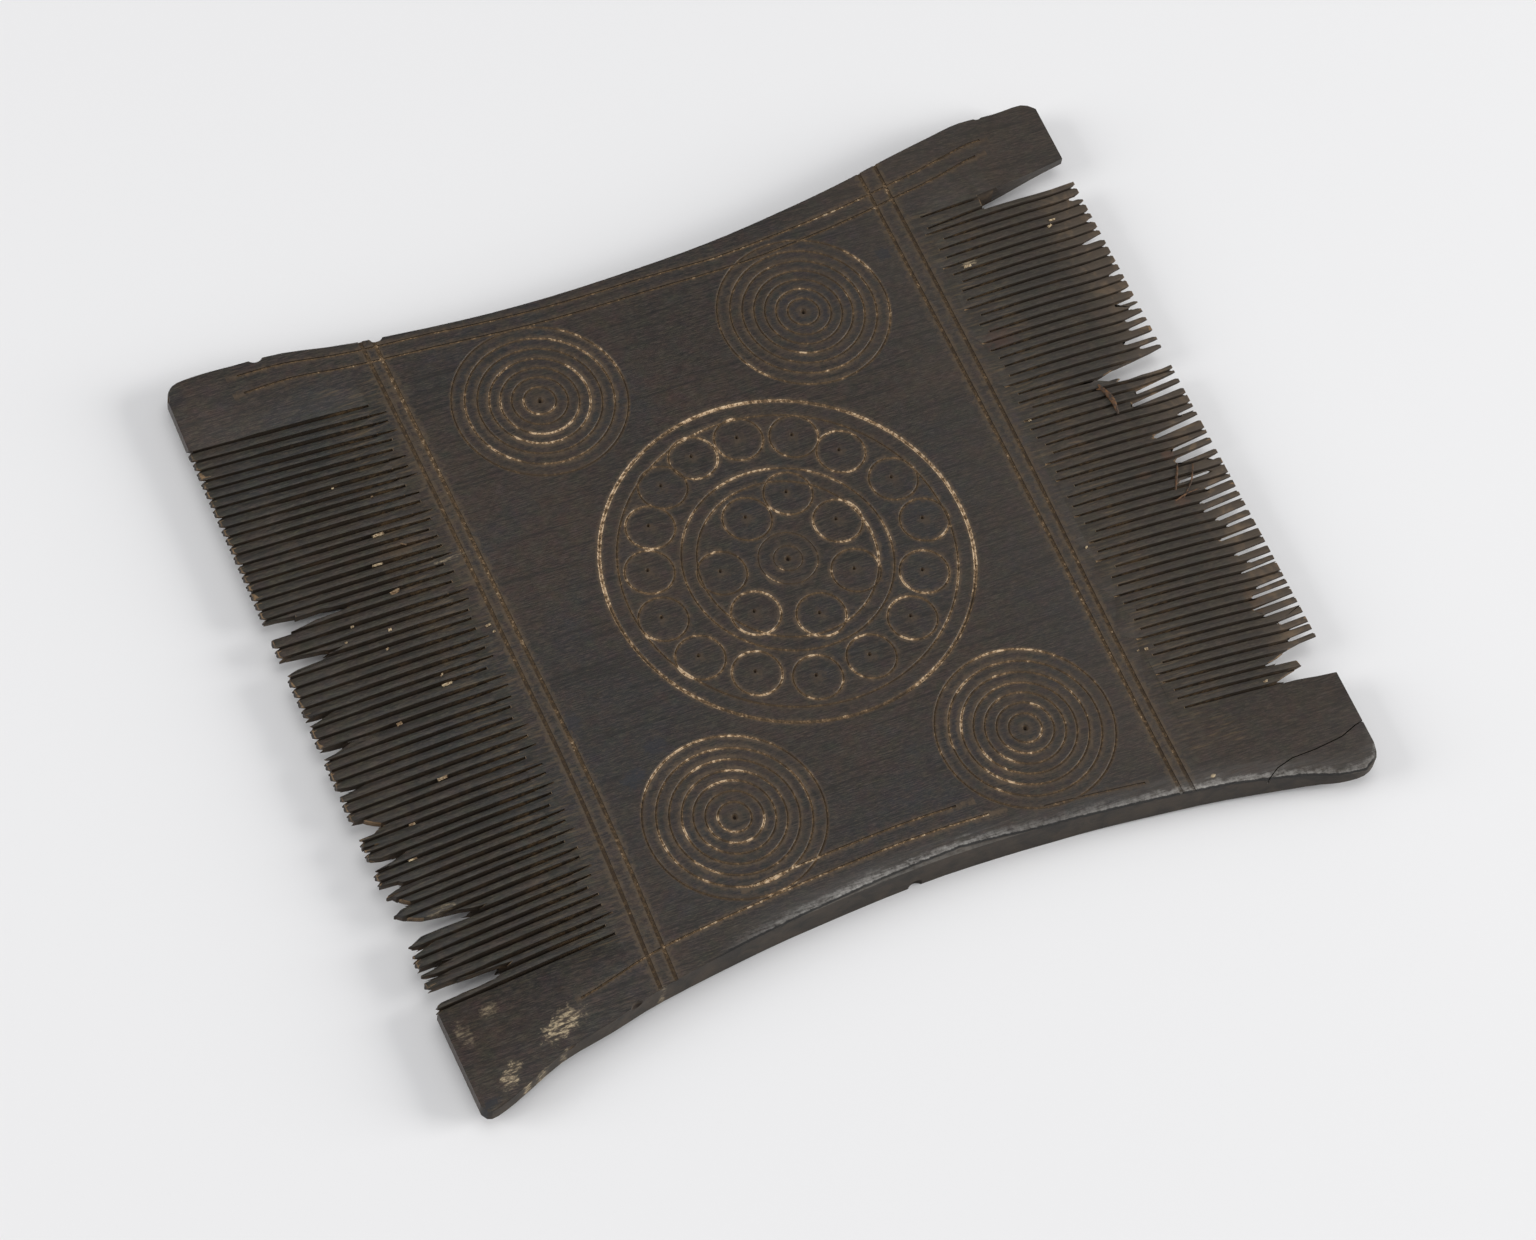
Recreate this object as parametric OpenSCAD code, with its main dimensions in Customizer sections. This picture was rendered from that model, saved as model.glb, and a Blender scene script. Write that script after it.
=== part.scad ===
// Double-ended comb, sawn and engraved from one board of dark wood.
// X runs along the teeth, Y across them, and Z = 0 is the flat underside.
// The origin is on the underside, below the centre of the engraved medallion.

/* [Board] */
// Thickness of the flat middle
board_t = 4.0; // [3.6:0.1:5]
// Thickness at the tips of the coarser, left-hand teeth
left_tip_t = 1.6; // [1.2:0.1:2.2]
// Thickness at the right-hand tips of the guards
right_tip_t = 0.9; // [0.8:0.1:1.4]
// How much thinner the right-hand teeth are at their tips than the guards
tip_thinning = 0.45; // [0.1:0.05:0.5]
// How much thinner the left-hand teeth are at their tips than the guards, all from below
left_thinning = 0.5; // [0.1:0.05:0.6]

/* [Teeth] */
// Number of saw cuts at each end, one more than the teeth between the guards
kerf_count = 58; // [30:1:58]
// Width of a left-hand saw cut
left_kerf_w = 0.42; // [0.2:0.02:0.5]
// Width of a left-hand saw cut near the tooth tips
left_tip_w = 0.26; // [0.16:0.02:0.44]
// Width of a right-hand saw cut
right_kerf_w = 0.30; // [0.2:0.02:0.44]
// Width of a right-hand saw cut near the tooth tips
right_tip_w = 0.22; // [0.16:0.02:0.44]
// Angle from upright of the worn gaps and notches between the teeth
gap_lean = 27.7; // [0:0.1:30]
// How far the shallow end of a saw cut runs past the deep one
run_out = 4.6; // [2:0.2:6]

/* [Engraving] */
// Depth of the compass-cut rings
ring_d = 0.16; // [0.08:0.02:0.3]
// Width of the compass-cut rings
ring_w = 0.32; // [0.2:0.02:0.45]
// Width of the medallion's outer ring
medallion_w = 0.46; // [0.3:0.02:0.6]
// Radius of the medallion
medallion_r = 19.4; // [18:0.1:20]
// Radius of the small circles in the medallion
circle_r = 2.58; // [2:0.02:2.7]
// Depth of the straight and curved border lines
line_d = 0.14; // [0.06:0.02:0.3]
// Width of the straight border lines
line_w = 0.42; // [0.2:0.02:0.6]
// Width of the lines that follow the curved edges
edge_line_w = 0.26; // [0.16:0.02:0.4]

/* [Hidden] */

// A length that passes every face it is meant to cut
beyond = 2;
// Steps between two points of a smooth curve, in plan and in section
plan_steps = 3;
section_steps = 2;

// Columns: x, y, in order from left to right along the far edge
FAR_EDGE = [
    [-52.95, 40.3], [-52.5, 41.2], [-51.4, 41.9], [-48.5, 42.0], [-45.3, 41.8], [-40.0, 41.4],
    [-32.5, 39.9], [-21.1, 38.8], [-11.4, 38.5], [-1.6, 38.8], [7.3, 39.4], [15.5, 40.5],
    [23.6, 41.9], [30.1, 43.4], [35.9, 44.7], [39.6, 45.5], [43.9, 45.6], [47.4, 45.8], [48.8, 44.8]
];
// Columns: x, y, in order from right to left along the near edge
NEAR_EDGE = [
    [48.15, -40.0], [47.6, -41.7], [45.9, -42.7], [43.3, -42.4], [40.1, -41.4], [31.8, -39.8],
    [23.6, -38.8], [15.5, -38.0], [7.3, -37.6], [-1.6, -37.6], [-13.0, -38.4], [-21.1, -39.4],
    [-30.1, -40.9], [-36.5, -42.6], [-42.1, -43.9], [-47.8, -46.3], [-50.6, -47.1], [-51.45, -46.3]
];
// The line of the left-hand tips, from the near guard to the far one. Columns: y, x
LEFT_TIPS = [
    [-35.5, -51.8], [-28, -51.95], [-20, -52.2], [-10, -52.4], [0, -52.5], [15, -52.75], [30, -52.95]
];
// Columns: x, share of the thinning taken off the top, share taken off the underside
LEFT_SECTION = [
    [-53.6, 0.50, 0.50], [-45.0, 0.30, 0.56], [-40.0, 0.18, 0.53], [-36.0, 0.11, 0.46],
    [-32.5, 0.05, 0.35], [-28.5, 0.0, 0.21], [-20.0, 0.0, 0.11], [-13.0, 0.0, 0.0]
];
RIGHT_SECTION = [
    [13.0, 0.0, 0.0], [19.0, 0.0, 0.10], [25.0, 0.0, 0.14], [30.0, 0.02, 0.16], [36.0, 0.10, 0.21],
    [40.0, 0.20, 0.30], [42.0, 0.26, 0.39], [44.2, 0.31, 0.50], [46.0, 0.33, 0.58], [49.6, 0.34, 0.66]
];

// Columns: number of the saw cut from the far guard, its y at the x of LEFT_CHART_X or RIGHT_CHART_X
LEFT_CHART = [
    [0, 32.75], [8, 23.2], [14, 16.2], [19, 10.5], [28, -0.45], [34, -8.1], [38, -12.95], [43, -18.85],
    [48, -24.4], [52, -28.95], [57, -34.75]
];
RIGHT_CHART = [
    [0, 35.5], [6, 28.5], [12, 21.5], [17, 15.7], [21, 10.85], [27, 3.85], [33, -2.95], [37, -7.75],
    [42, -13.55], [48, -20.2], [57, -30.3]
];
LEFT_CHART_X = -45.3;
RIGHT_CHART_X = 37.9;
// Saw cuts fan out with the guards: slope for each mm of y, and the slope at y = 0
LEFT_FAN = -0.0021;
RIGHT_FAN = 0.0017;
RIGHT_SLOPE = 0.014;

// Where the deep part of the saw cuts ends, where the left-hand ones narrow, and where the tips end
LEFT_ROOT = -36.4;
RIGHT_ROOT = 34.4;
LEFT_NARROWING = -45.6;
LEFT_END = -53.6;
RIGHT_END = 49.3;
// How far the dark wall beyond a worn gap reaches across it, seen from above
LEFT_WALL = 0.4;
RIGHT_WALL = 0.15;
// Where the right-hand saw cuts are worn open. Columns: number of the cut from the far guard,
// x, y and width at the inner end, y and width at the x of RIGHT_CHECK_X
RIGHT_CHECK_X = 48.2;
RIGHT_SLOTS = [
    [3, 47.4, 32.44, 0.41, 32.46, 0.44], [6, 48, 29.2, 0.29, 29.23, 0.34],
    [8, 46.4, 26.55, 0.3, 26.8, 0.62], [12, 47.4, 21.87, 0.35, 21.96, 0.49],
    [14, 47.6, 19.5, 0.25, 19.55, 0.33], [15, 46.2, 18.02, 0.25, 18.18, 0.45],
    [16, 47.5, 17.21, 0.44, 17.25, 0.55], [17, 46.4, 15.85, 0.34, 16.03, 0.52],
    [18, 46.3, 14.69, 0.34, 14.88, 0.52], [19, 44.9, 13.19, 0.4, 13.38, 0.64],
    [20, 46.4, 12.17, 0.34, 12.25, 0.5], [24, 43.3, 6.93, 0.33, 7.67, 0.6],
    [25, 42.2, 5.51, 0.38, 6.38, 0.62], [28, 46.6, 3.07, 0.27, 3.23, 0.37],
    [29, 42.8, 1.15, 0.46, 2.01, 0.6], [31, 43.9, -0.92, 0.3, -0.32, 0.44],
    [32, 43.7, -2.35, 0.65, -1.74, 0.76], [33, 47.1, -3.15, 0.32, -3.03, 0.44],
    [36, 45.3, -6.38, 0.3, -6.08, 0.29], [37, 44.1, -7.86, 0.38, -7.41, 0.42],
    [38, 44, -8.95, 0.31, -8.49, 0.34], [39, 44.8, -10.27, 0.45, -9.88, 0.48],
    [40, 45.5, -11.29, 0.34, -11.05, 0.36], [41, 43.9, -12.77, 0.27, -12.41, 0.34],
    [43, 44.8, -14.9, 0.38, -14.64, 0.43], [44, 45.7, -16.05, 0.36, -15.91, 0.33],
    [45, 44.5, -17.11, 0.22, -16.79, 0.26], [47, 45.2, -19.26, 0.32, -19, 0.3],
    [48, 44, -20.23, 0.36, -19.95, 0.34], [49, 43.5, -21.66, 0.18, -21.29, 0.38],
    [50, 44.3, -22.63, 0.26, -22.4, 0.4], [51, 45.4, -23.94, 0.4, -23.75, 0.47],
    [52, 46.2, -24.95, 0.16, -24.85, 0.2], [53, 45.5, -26.1, 0.41, -25.89, 0.42]
];

// Worn gaps, each by two outlines in plan: far side from the tips inwards, near side outwards. Columns: x, y
LEFT_GAPS = [
    [[[-53.4, 11.3], [-52.3, 11.12], [-51.3, 11.03], [-49.5, 10.74], [-49.5, 10.52], [-47.9, 10.52],
      [-46.8, 10.55], [-45.8, 10.36], [-44.9, 10.28], [-44.3, 10.14]],
     [[-44.9, 10.08], [-47.9, 9.99], [-49.5, 9.69], [-51.1, 9.54], [-51.8, 9.53], [-53.4, 9.29]]],
    [[[-53.5, 6.61], [-52.4, 6.46], [-50.1, 6.17], [-48.2, 5.93], [-47.7, 5.78]],
     [[-48.1, 5.67], [-48.7, 5.37], [-50.2, 5.3], [-51.4, 5.23], [-52.1, 5.06], [-53.8, 4.53]]],
    [[[-53.5, -0.7], [-52.3, -0.87], [-51.2, -1]],
     [[-51.6, -1.14], [-52.4, -1.33], [-53.5, -1.33]]],
    [[[-53.6, -4.48], [-52.4, -4.57], [-51.3, -4.77], [-50.4, -4.82]],
     [[-51.1, -5.13], [-51.7, -5.24], [-52.5, -5.37], [-53.7, -5.55]]],
    [[[-53.4, -9.34], [-52.3, -9.43], [-51.3, -9.6], [-50.4, -9.73]],
     [[-51.1, -9.78], [-52.3, -9.86], [-53.3, -9.85]]],
    [[[-53.6, -13.29], [-52.2, -13.41], [-51.2, -13.58], [-50.4, -14.15], [-49.6, -14.55]],
     [[-50.4, -14.74], [-50.7, -14.96], [-54, -15.13]]],
    [[[-54, -15.13], [-50.6, -15.17], [-49.7, -15.56], [-48.3, -15.92], [-47.2, -16.02]],
     [[-48.1, -15.97], [-48.9, -15.99], [-49.8, -16.08], [-50.8, -16.21], [-54.1, -16.38]]],
    [[[-54.1, -16.38], [-50.8, -16.53], [-50.1, -16.94]],
     [[-50.9, -17.04], [-51.6, -17.2], [-52.1, -17.45], [-53.5, -17.6]]],
    [[[-53.6, -17.92], [-52.1, -17.88], [-51.1, -18.17], [-49.8, -18.33]],
     [[-50.1, -18.49], [-50.7, -18.84], [-54, -19.01]]],
    [[[-54, -19.01], [-50.7, -19.03], [-50.1, -19.18]],
     [[-50.4, -19.61], [-53.6, -19.76]]],
    [[[-53.6, -19.76], [-50.3, -19.86], [-49.6, -20.14], [-48.9, -20.3]],
     [[-49.5, -20.41], [-50.2, -20.48], [-50.5, -20.77], [-53.4, -20.94]]],
    [[[-53.4, -20.94], [-50.3, -21.18], [-50, -21.43]],
     [[-51, -21.57], [-51.8, -21.83], [-52.2, -22.17], [-53.4, -22.26]]],
    [[[-53.5, -22.48], [-52.1, -22.48], [-51.4, -22.55], [-51.1, -22.96], [-50.1, -23.65]],
     [[-50.7, -23.61], [-51.3, -23.76], [-51.8, -24.09], [-53.1, -24.23]]],
    [[[-53.2, -24.55], [-51.8, -24.64], [-51.2, -25.11], [-49.6, -25.79], [-47.5, -26.1], [-45.9, -26.28],
      [-44.6, -26.56]],
     [[-45.2, -26.85], [-46.5, -26.87], [-47.8, -26.84], [-49.6, -26.97], [-50.5, -27.2], [-51.6, -27.74],
      [-53, -28.03]]],
    [[[-52.9, -28.42], [-51.7, -28.36], [-50.9, -28.54]],
     [[-51.6, -28.84], [-52.9, -29.01]]],
    [[[-53.2, -30.94], [-51.8, -30.89], [-49.8, -30.89]],
     [[-51.6, -31.08], [-52.9, -31.2]]],
    [[[-53.1, -31.72], [-51.4, -31.75], [-50, -31.93]],
     [[-51.5, -31.96], [-52.8, -32.08]]],
    [[[-53.5, -33.31], [-51.5, -33.25], [-50.9, -33.27], [-49.9, -33.23], [-48.6, -33.26],
      [-47.4, -33.29], [-46.3, -33.29], [-45.3, -33.29], [-44.5, -33.3]],
     [[-44.9, -33.88], [-45.4, -34.07], [-46.1, -34.11], [-46.9, -34.22], [-47.8, -34.28],
      [-48.6, -34.3], [-49.5, -34.41], [-50.3, -34.46], [-51.1, -34.53], [-51.5, -34.68],
      [-51.7, -34.93], [-53.9, -35.21]]],
];
RIGHT_GAPS = [
    [[[50.6, 11.77], [48.7, 11.52], [47.1, 11.16], [44.9, 10.76], [43.1, 10.41], [41.8, 10.2],
      [39.6, 9.43]],
     [[40, 9.2], [40.9, 9.15], [42.2, 9.24], [42.4, 9.11], [41.9, 8.85], [42.2, 8.75], [43.4, 8.83],
      [44.9, 9.01], [47.3, 9.03], [48.4, 9.17], [50.1, 9.19]]],
    [[[50.4, -26.58], [48.3, -26.66], [46.3, -26.81], [44.7, -27.15], [43.1, -27.79], [41.5, -28.21]],
     [[42.1, -28.33], [43.5, -28.33], [44.6, -28.3], [45, -28.54], [45.2, -29.3], [50.4, -29.5]]],
    [[[50.4, -29.5], [45.1, -29.38], [44.5, -29.58], [43.4, -29.88], [41.8, -30.38]],
     [[43, -30.6], [44.8, -30.74], [46.1, -30.9], [48.2, -31.14], [49.4, -31.34]]],
];
// A slit in one saw cut that is closed at the tips. Columns: x, y
RIGHT_SLIT = [[42.6, -4.95], [43.0, -4.7], [46.5, -4.42], [46.8, -4.55], [46.5, -4.66], [43.0, -5.0]];
// The gap beside the far guard. Columns: x and y of its inner end, its width, then its two y at the tips
GUARD_GAP = [37.6, 34.9, 1.9, 34.65, 37.75];
// Saw cuts that wandered. Columns: number of the cut, added slope
RIGHT_WANDER = [[0, 0.0], [1, 0.05], [2, 0.0], [22, 0.0], [23, -0.03], [24, 0.0], [57, 0.0]];

// Rosettes of rings. Columns: x, y of the centre
ROSETTES = [[-16.9, 26.6], [13.6, 27.8], [-16.8, -26.0], [14.8, -26.7]];
// Radii of the rings in each rosette
ROSETTE_RADII = [1.7, 2.95, 4.15, 5.3, 6.55, 7.85, 9.25];
// Radii of the medallion's rings inside its outer one, and of the faint ones round its centre
MEDALLION_RADII = [17.6, 11.0, 9.4];
CENTRE_RADII = [3.1, 1.5];
// Small circles, set out by eye. Columns: direction from the centre in degrees, distance from it
OUTER_CIRCLES = [
    [107.3, 15.3], [86.9, 15.2], [64.7, 15.0], [44.6, 14.5], [20.3, 15.1], [-1.7, 15.2], [-26.3, 14.1],
    [-49.7, 14.3], [-75.8, 14.1], [-100.6, 14.3], [-125.7, 14.2], [-148.8, 15.2], [-170.8, 15.0],
    [166.9, 14.4], [145.4, 14.5], [125.8, 15.2]
];
INNER_CIRCLES = [
    [67.0, 7.9], [20.3, 7.1], [-31.4, 7.1], [-85.4, 7.4], [-138.8, 7.5], [174.8, 7.1], [110.0, 6.2]
];
// The pits were struck first, a little off the centres of the circles. Columns: x, y
PIT_OFFSET = [-0.1, 0.3];

// Border lines across the board, by their x at each of these y, from the far edge to the near one
CROSS_Y = [44, 20, 0, -20, -42];
CROSS_LINES = [
    [-32.1, -31.3, -30.8, -30.4, -30.9], [-30.8, -29.9, -29.3, -28.7, -29.1],
    [26.3, 26.6, 26.7, 26.6, 26.6], [28.4, 28.5, 28.4, 27.9, 27.9]
];
// Lines along the curved edges. Columns: x, distance from the edge
FAR_LINES = [
    [[-46.5, 1.4], [-38, 1.3], [-25, 0.8], [0, 1.4], [8, 2.1], [32, 3.2], [42, 2.8]],
    [[-46.5, 3.7], [-33, 2.8], [-23, 2.5], [0, 3.1], [13, 4.1], [33, 5.0], [41, 4.6]]
];
NEAR_LINES = [
    [[-39, 3.9], [-28, 3.7], [-18, 3.3], [9.2, 3.1]],
    [[11.6, 2.2], [24, 2.1]],
    [[-19.5, 5.2], [6.5, 5.0]]
];

// Crack across the near right-hand corner. Columns: x, y
CRACK = [
    [48.8, -37.3], [47.4, -37.5], [45.3, -38.3], [41.9, -38.8], [39.2, -39.0], [37.2, -39.6], [35.2, -40.9]
];
crack_w = 0.12;
crack_d = 0.9;
// Chips along the edges. Columns: x, y, z, radius
CHIPS = [
    [-42.8, 42.2, 3.4, 0.9], [-30.2, 40.0, 4.0, 0.8], [49.2, -37.3, 3.2, 0.8], [-1.8, -38.2, 0.4, 1.0],
    [-33.5, -42.3, 3.9, 0.9], [-41.0, -44.3, 3.7, 0.9], [-53.6, 40.6, 3.0, 1.0], [42.0, 46.2, 3.4, 0.8]
];

// A repeatable small deviation from -1 to 1, for work done by hand
function by_hand(i) = sin(i * 137.5 + 40) * cos(i * 61.8);
// A point of a smooth curve through b and c, where t runs from 0 to 1
function between(a, b, c, d, t) =
    0.5 * (2 * b + (c - a) * t + (2 * a - 5 * b + 4 * c - d) * t * t + (3 * b - a - 3 * c + d) * t * t * t);
function at(list, i) = list[min(max(i, 0), len(list) - 1)];
// Points of a smooth curve through a list of points
function smooth(list, steps) = concat(
    [for (i = [0:len(list) - 2], s = [0:steps - 1])
        between(at(list, i - 1), list[i], list[i + 1], at(list, i + 2), s / steps)],
    [list[len(list) - 1]]
);
function reversed(list) = [for (i = [len(list) - 1:-1:0]) list[i]];

far_curve = smooth(FAR_EDGE, plan_steps);
near_curve = smooth(NEAR_EDGE, plan_steps);
left_section = smooth(LEFT_SECTION, section_steps);
right_section = smooth(RIGHT_SECTION, section_steps);

// Top and underside of the board along X, lowered or raised by an offset
function top_line(offset) = concat(
    [for (p = left_section) [p[0], board_t - p[1] * (board_t - left_tip_t) + offset]],
    [for (p = right_section) [p[0], board_t - p[1] * (board_t - right_tip_t) + offset]]
);
top_points = top_line(0);
bottom_line = concat(
    [for (p = left_section) [p[0], p[2] * (board_t - left_tip_t)]],
    [for (p = right_section) [p[0], p[2] * (board_t - right_tip_t)]]
);

// A flat shape in X and Z, drawn out from one y to another
module across_board(points, from = -60, to = 60) {
    translate([0, to, 0])
        rotate([90, 0, 0])
            linear_extrude(height = to - from)
                polygon(points);
}

module board() {
    intersection() {
        linear_extrude(height = board_t)
            polygon(concat(far_curve, near_curve, [for (p = LEFT_TIPS) [p[1], p[0]]]));
        across_board(concat(top_line(0), reversed(bottom_line)));
    }
}

// How far each face of the right-hand teeth is filed down, and the underside of the left-hand ones
function filed(x) = tip_thinning * min(max((x - 42) / 4, 0), 1) / 2;
function filed_below(x) = left_thinning * min(max((-45 - x) / 5, 0), 1);

// The teeth are filed thinner than the guards beside them
module filed_tips() {
    right_top = [for (p = top_points) if (p[0] > 41) p - [0, filed(p[0])]];
    right_bottom = [for (p = bottom_line) if (p[0] > 41) p + [0, filed(p[0])]];
    left_bottom = [for (p = bottom_line) if (p[0] < -44) p + [0, filed_below(p[0])]];
    over = board_t + beyond;
    across_board(concat(right_top, [[RIGHT_END + beyond, over], [42, over]]), -30.5, 36);
    across_board(concat(right_bottom, [[RIGHT_END + beyond, -beyond], [42, -beyond]]), -30.5, 36);
    across_board(concat(left_bottom, [[-45, -beyond], [LEFT_END - beyond, -beyond]]), -35.2, 33.1);
}

// One saw cut in plan. Stations hold x and width, from the root to beyond the tips
module kerf_plan(y, chart_x, slope, stations) {
    edge = [for (s = stations) [s[0], y + slope * (s[0] - chart_x) + s[1] / 2]];
    other = [for (s = stations) [s[0], y + slope * (s[0] - chart_x) - s[1] / 2]];
    polygon(concat(edge, reversed(other)));
}

module left_kerfs() {
    for (i = [0:kerf_count - 1]) {
        number = i * 57 / (kerf_count - 1);
        y = lookup(number, LEFT_CHART) + 0.1 * by_hand(i);
        w = left_kerf_w * (1 + 0.12 * by_hand(i + 13));
        narrowing = LEFT_NARROWING + by_hand(i + 7);
        kerf_plan(y, LEFT_CHART_X, LEFT_FAN * y + 0.004 * by_hand(i + 20), [
            [LEFT_ROOT + run_out * (0.8 + 0.25 * by_hand(i + 3)), w / 2],
            [LEFT_ROOT, 0.85 * w],
            [LEFT_ROOT - 2, w],
            [narrowing, w],
            [narrowing - 2, left_tip_w],
            [LEFT_END - 0.2, left_tip_w]
        ]);
    }
}

// y and slope of a right-hand saw cut
function right_y(number) = lookup(number, RIGHT_CHART) + 0.06 * by_hand(number + 11);
function right_slope(number) =
    RIGHT_FAN * right_y(number) + RIGHT_SLOPE + lookup(number, RIGHT_WANDER) + 0.003 * by_hand(number + 30);
function right_y_at(number, x) = right_y(number) + right_slope(number) * (x - RIGHT_CHART_X);
// A saw cut that is worn open stops where the opening starts
function right_reach(number) =
    let (open = [for (row = RIGHT_SLOTS) if (abs(row[0] - number) < 0.5) row[1] + 0.2])
    len(open) > 0 ? open[0] : RIGHT_END;

module right_kerfs() {
    for (i = [0:kerf_count - 1]) {
        number = i * 57 / (kerf_count - 1);
        reach = right_reach(number);
        stations = [
            [RIGHT_ROOT - run_out * (0.8 + 0.25 * by_hand(i + 9)), right_kerf_w / 2],
            [RIGHT_ROOT, right_kerf_w], [45, right_kerf_w], [46, right_tip_w]
        ];
        kerf_plan(right_y(number), RIGHT_CHART_X, right_slope(number), concat(
            [for (s = stations) if (s[0] < reach) s],
            [[reach, lookup(reach, [[45, right_kerf_w], [46, right_tip_w]])]]
        ));
    }
}

// The saw is worked from both faces, so each cut runs out along the top and the underside
module saw_reach(root, out) {
    middle = board_t / 2;
    past = middle + beyond;
    tail = root + sign(root - out) * run_out * past / middle;
    over = board_t + beyond;
    across_board([[out, -beyond], [tail, -beyond], [root, middle], [tail, over], [out, over]]);
}

module kerfs() {
    intersection() {
        linear_extrude(height = 3 * board_t, center = true)
            left_kerfs();
        saw_reach(LEFT_ROOT, LEFT_END - 0.1);
    }
    intersection() {
        linear_extrude(height = 3 * board_t, center = true)
            right_kerfs();
        saw_reach(RIGHT_ROOT, RIGHT_END - 0.1);
    }
}

// Worn gaps lean away from the near edge. A flat shape drawn where the gap meets the top of the teeth
module leaning(points) {
    rotate([gap_lean, 0, 0])
        linear_extrude(height = 80, center = true)
            polygon([for (p = points) [
                p[0],
                p[1] * cos(gap_lean) + (lookup(p[0], top_points) - filed(p[0])) * sin(gap_lean)
            ]]);
}

module upright(points) {
    linear_extrude(height = 3 * board_t, center = true)
        polygon(points);
}

// A worn gap between two outlines in plan, with an upright wall on its far side
module worn_gap(gap, wall, inwards) {
    far = gap[0];
    tip = far[len(far) - 1];
    leaning(concat(far, gap[1]));
    upright(concat([for (p = far) p + [0, wall]], [tip + [1.2 * inwards, 0.8 * wall]], gap[1]));
}

// A saw cut worn open towards the tips, with a shallow groove where its far side was
module worn_slot(row) {
    x = row[1];
    slope = (row[4] - row[2]) / (RIGHT_CHECK_X - x);
    out_x = RIGHT_CHECK_X + 1;
    out_y = row[4] + slope;
    leaning([
        [x - 0.15, row[2] - 0.15 * row[3]], [x - 0.15, row[2] + 0.15 * row[3]],
        [x + 0.15, row[2] + row[3] / 2], [RIGHT_CHECK_X, row[4] + row[5] / 2],
        [RIGHT_CHECK_X + 0.35, row[4] + row[5] / 2 + 0.12], [out_x, out_y + row[5] / 2 + 0.15],
        [out_x, out_y - row[5] / 2 - 0.15], [RIGHT_CHECK_X + 0.35, row[4] - row[5] / 2 - 0.12],
        [RIGHT_CHECK_X, row[4] - row[5] / 2], [x + 0.15, row[2] - row[3] / 2]
    ]);
    inner_far = max(right_y_at(row[0], x) + right_kerf_w / 2, row[2] + row[3] / 2 + 0.12);
    outer_far = max(right_y_at(row[0], out_x) + right_kerf_w / 2, out_y + row[5] / 2 + 0.12);
    intersection() {
        linear_extrude(height = 2 * board_t)
            polygon([
                [x - 0.1, inner_far - 0.05], [x + 0.1, inner_far], [out_x, outer_far],
                [out_x, out_y + row[5] / 2 - 0.06], [x + 0.2, row[2] + row[3] / 2 - 0.06]
            ]);
        skin(0.6);
    }
}

// Notches worn between the tips
module tip_notches() {
    for (i = [0:kerf_count - 1]) {
        number = i * 57 / (kerf_count - 1);
        y = lookup(number, LEFT_CHART) + 0.1 * by_hand(i);
        tip_y = y + (LEFT_FAN * y + 0.004 * by_hand(i + 20)) * (LEFT_END - LEFT_CHART_X);
        tip_x = lookup(y, LEFT_TIPS);
        depth = 0.5 + 0.22 * by_hand(i + 17);
        leaning([
            [tip_x + depth, tip_y], [tip_x + 0.25, tip_y + 0.13], [tip_x - 0.1, tip_y + 0.34],
            [tip_x - 0.8, tip_y + 0.34], [tip_x - 0.8, tip_y - 0.34], [tip_x - 0.1, tip_y - 0.34],
            [tip_x + 0.25, tip_y - 0.13]
        ]);
        right_tip_y = right_y_at(number, RIGHT_CHECK_X);
        leaning([
            [RIGHT_CHECK_X - 0.1, right_tip_y], [RIGHT_CHECK_X + 0.2, right_tip_y + 0.12],
            [RIGHT_CHECK_X + 0.6, right_tip_y + 0.34], [RIGHT_CHECK_X + 1, right_tip_y + 0.34],
            [RIGHT_CHECK_X + 1, right_tip_y - 0.34], [RIGHT_CHECK_X + 0.6, right_tip_y - 0.34],
            [RIGHT_CHECK_X + 0.2, right_tip_y - 0.12]
        ]);
    }
}

module worn_teeth() {
    for (gap = LEFT_GAPS)
        worn_gap(gap, LEFT_WALL, 1);
    for (gap = RIGHT_GAPS)
        worn_gap(gap, RIGHT_WALL, -1);
    for (row = RIGHT_SLOTS)
        worn_slot(row);
    tip_notches();
    leaning(RIGHT_SLIT);
    upright([
        [GUARD_GAP[0], GUARD_GAP[1] - GUARD_GAP[2] / 2], [GUARD_GAP[0], GUARD_GAP[1] + GUARD_GAP[2] / 2],
        [RIGHT_END, GUARD_GAP[4]], [RIGHT_END, GUARD_GAP[3]]
    ]);
}

// A groove with sloping walls, turned by a compass about its centre
module ring_groove(r, w, d) {
    mouth = w / 2 * (1 + beyond / d / 10);
    translate([0, 0, board_t])
        rotate_extrude($fn = 64)
            polygon([[r - mouth, beyond / 10], [r, -d], [r + mouth, beyond / 10]]);
}

module centre_pit(r, d) {
    translate([0, 0, board_t - d])
        cylinder(h = 2 * d, r1 = 0, r2 = 2 * r, $fn = 24);
}

module rosette() {
    for (r = ROSETTE_RADII)
        ring_groove(r, ring_w, ring_d);
    centre_pit(0.38, 0.5);
}

module small_circle(place) {
    translate([place[1] * cos(place[0]), place[1] * sin(place[0]), 0]) {
        ring_groove(circle_r, ring_w, ring_d);
        translate(PIT_OFFSET)
            centre_pit(0.25, 0.4);
    }
}

module medallion() {
    ring_groove(medallion_r, medallion_w, ring_d * 1.4);
    for (r = MEDALLION_RADII)
        ring_groove(r, ring_w, ring_d);
    for (r = CENTRE_RADII)
        ring_groove(r, ring_w * 0.6, ring_d * 0.6);
    for (c = concat(OUTER_CIRCLES, INNER_CIRCLES))
        small_circle(c);
    centre_pit(0.4, 0.5);
}

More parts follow.
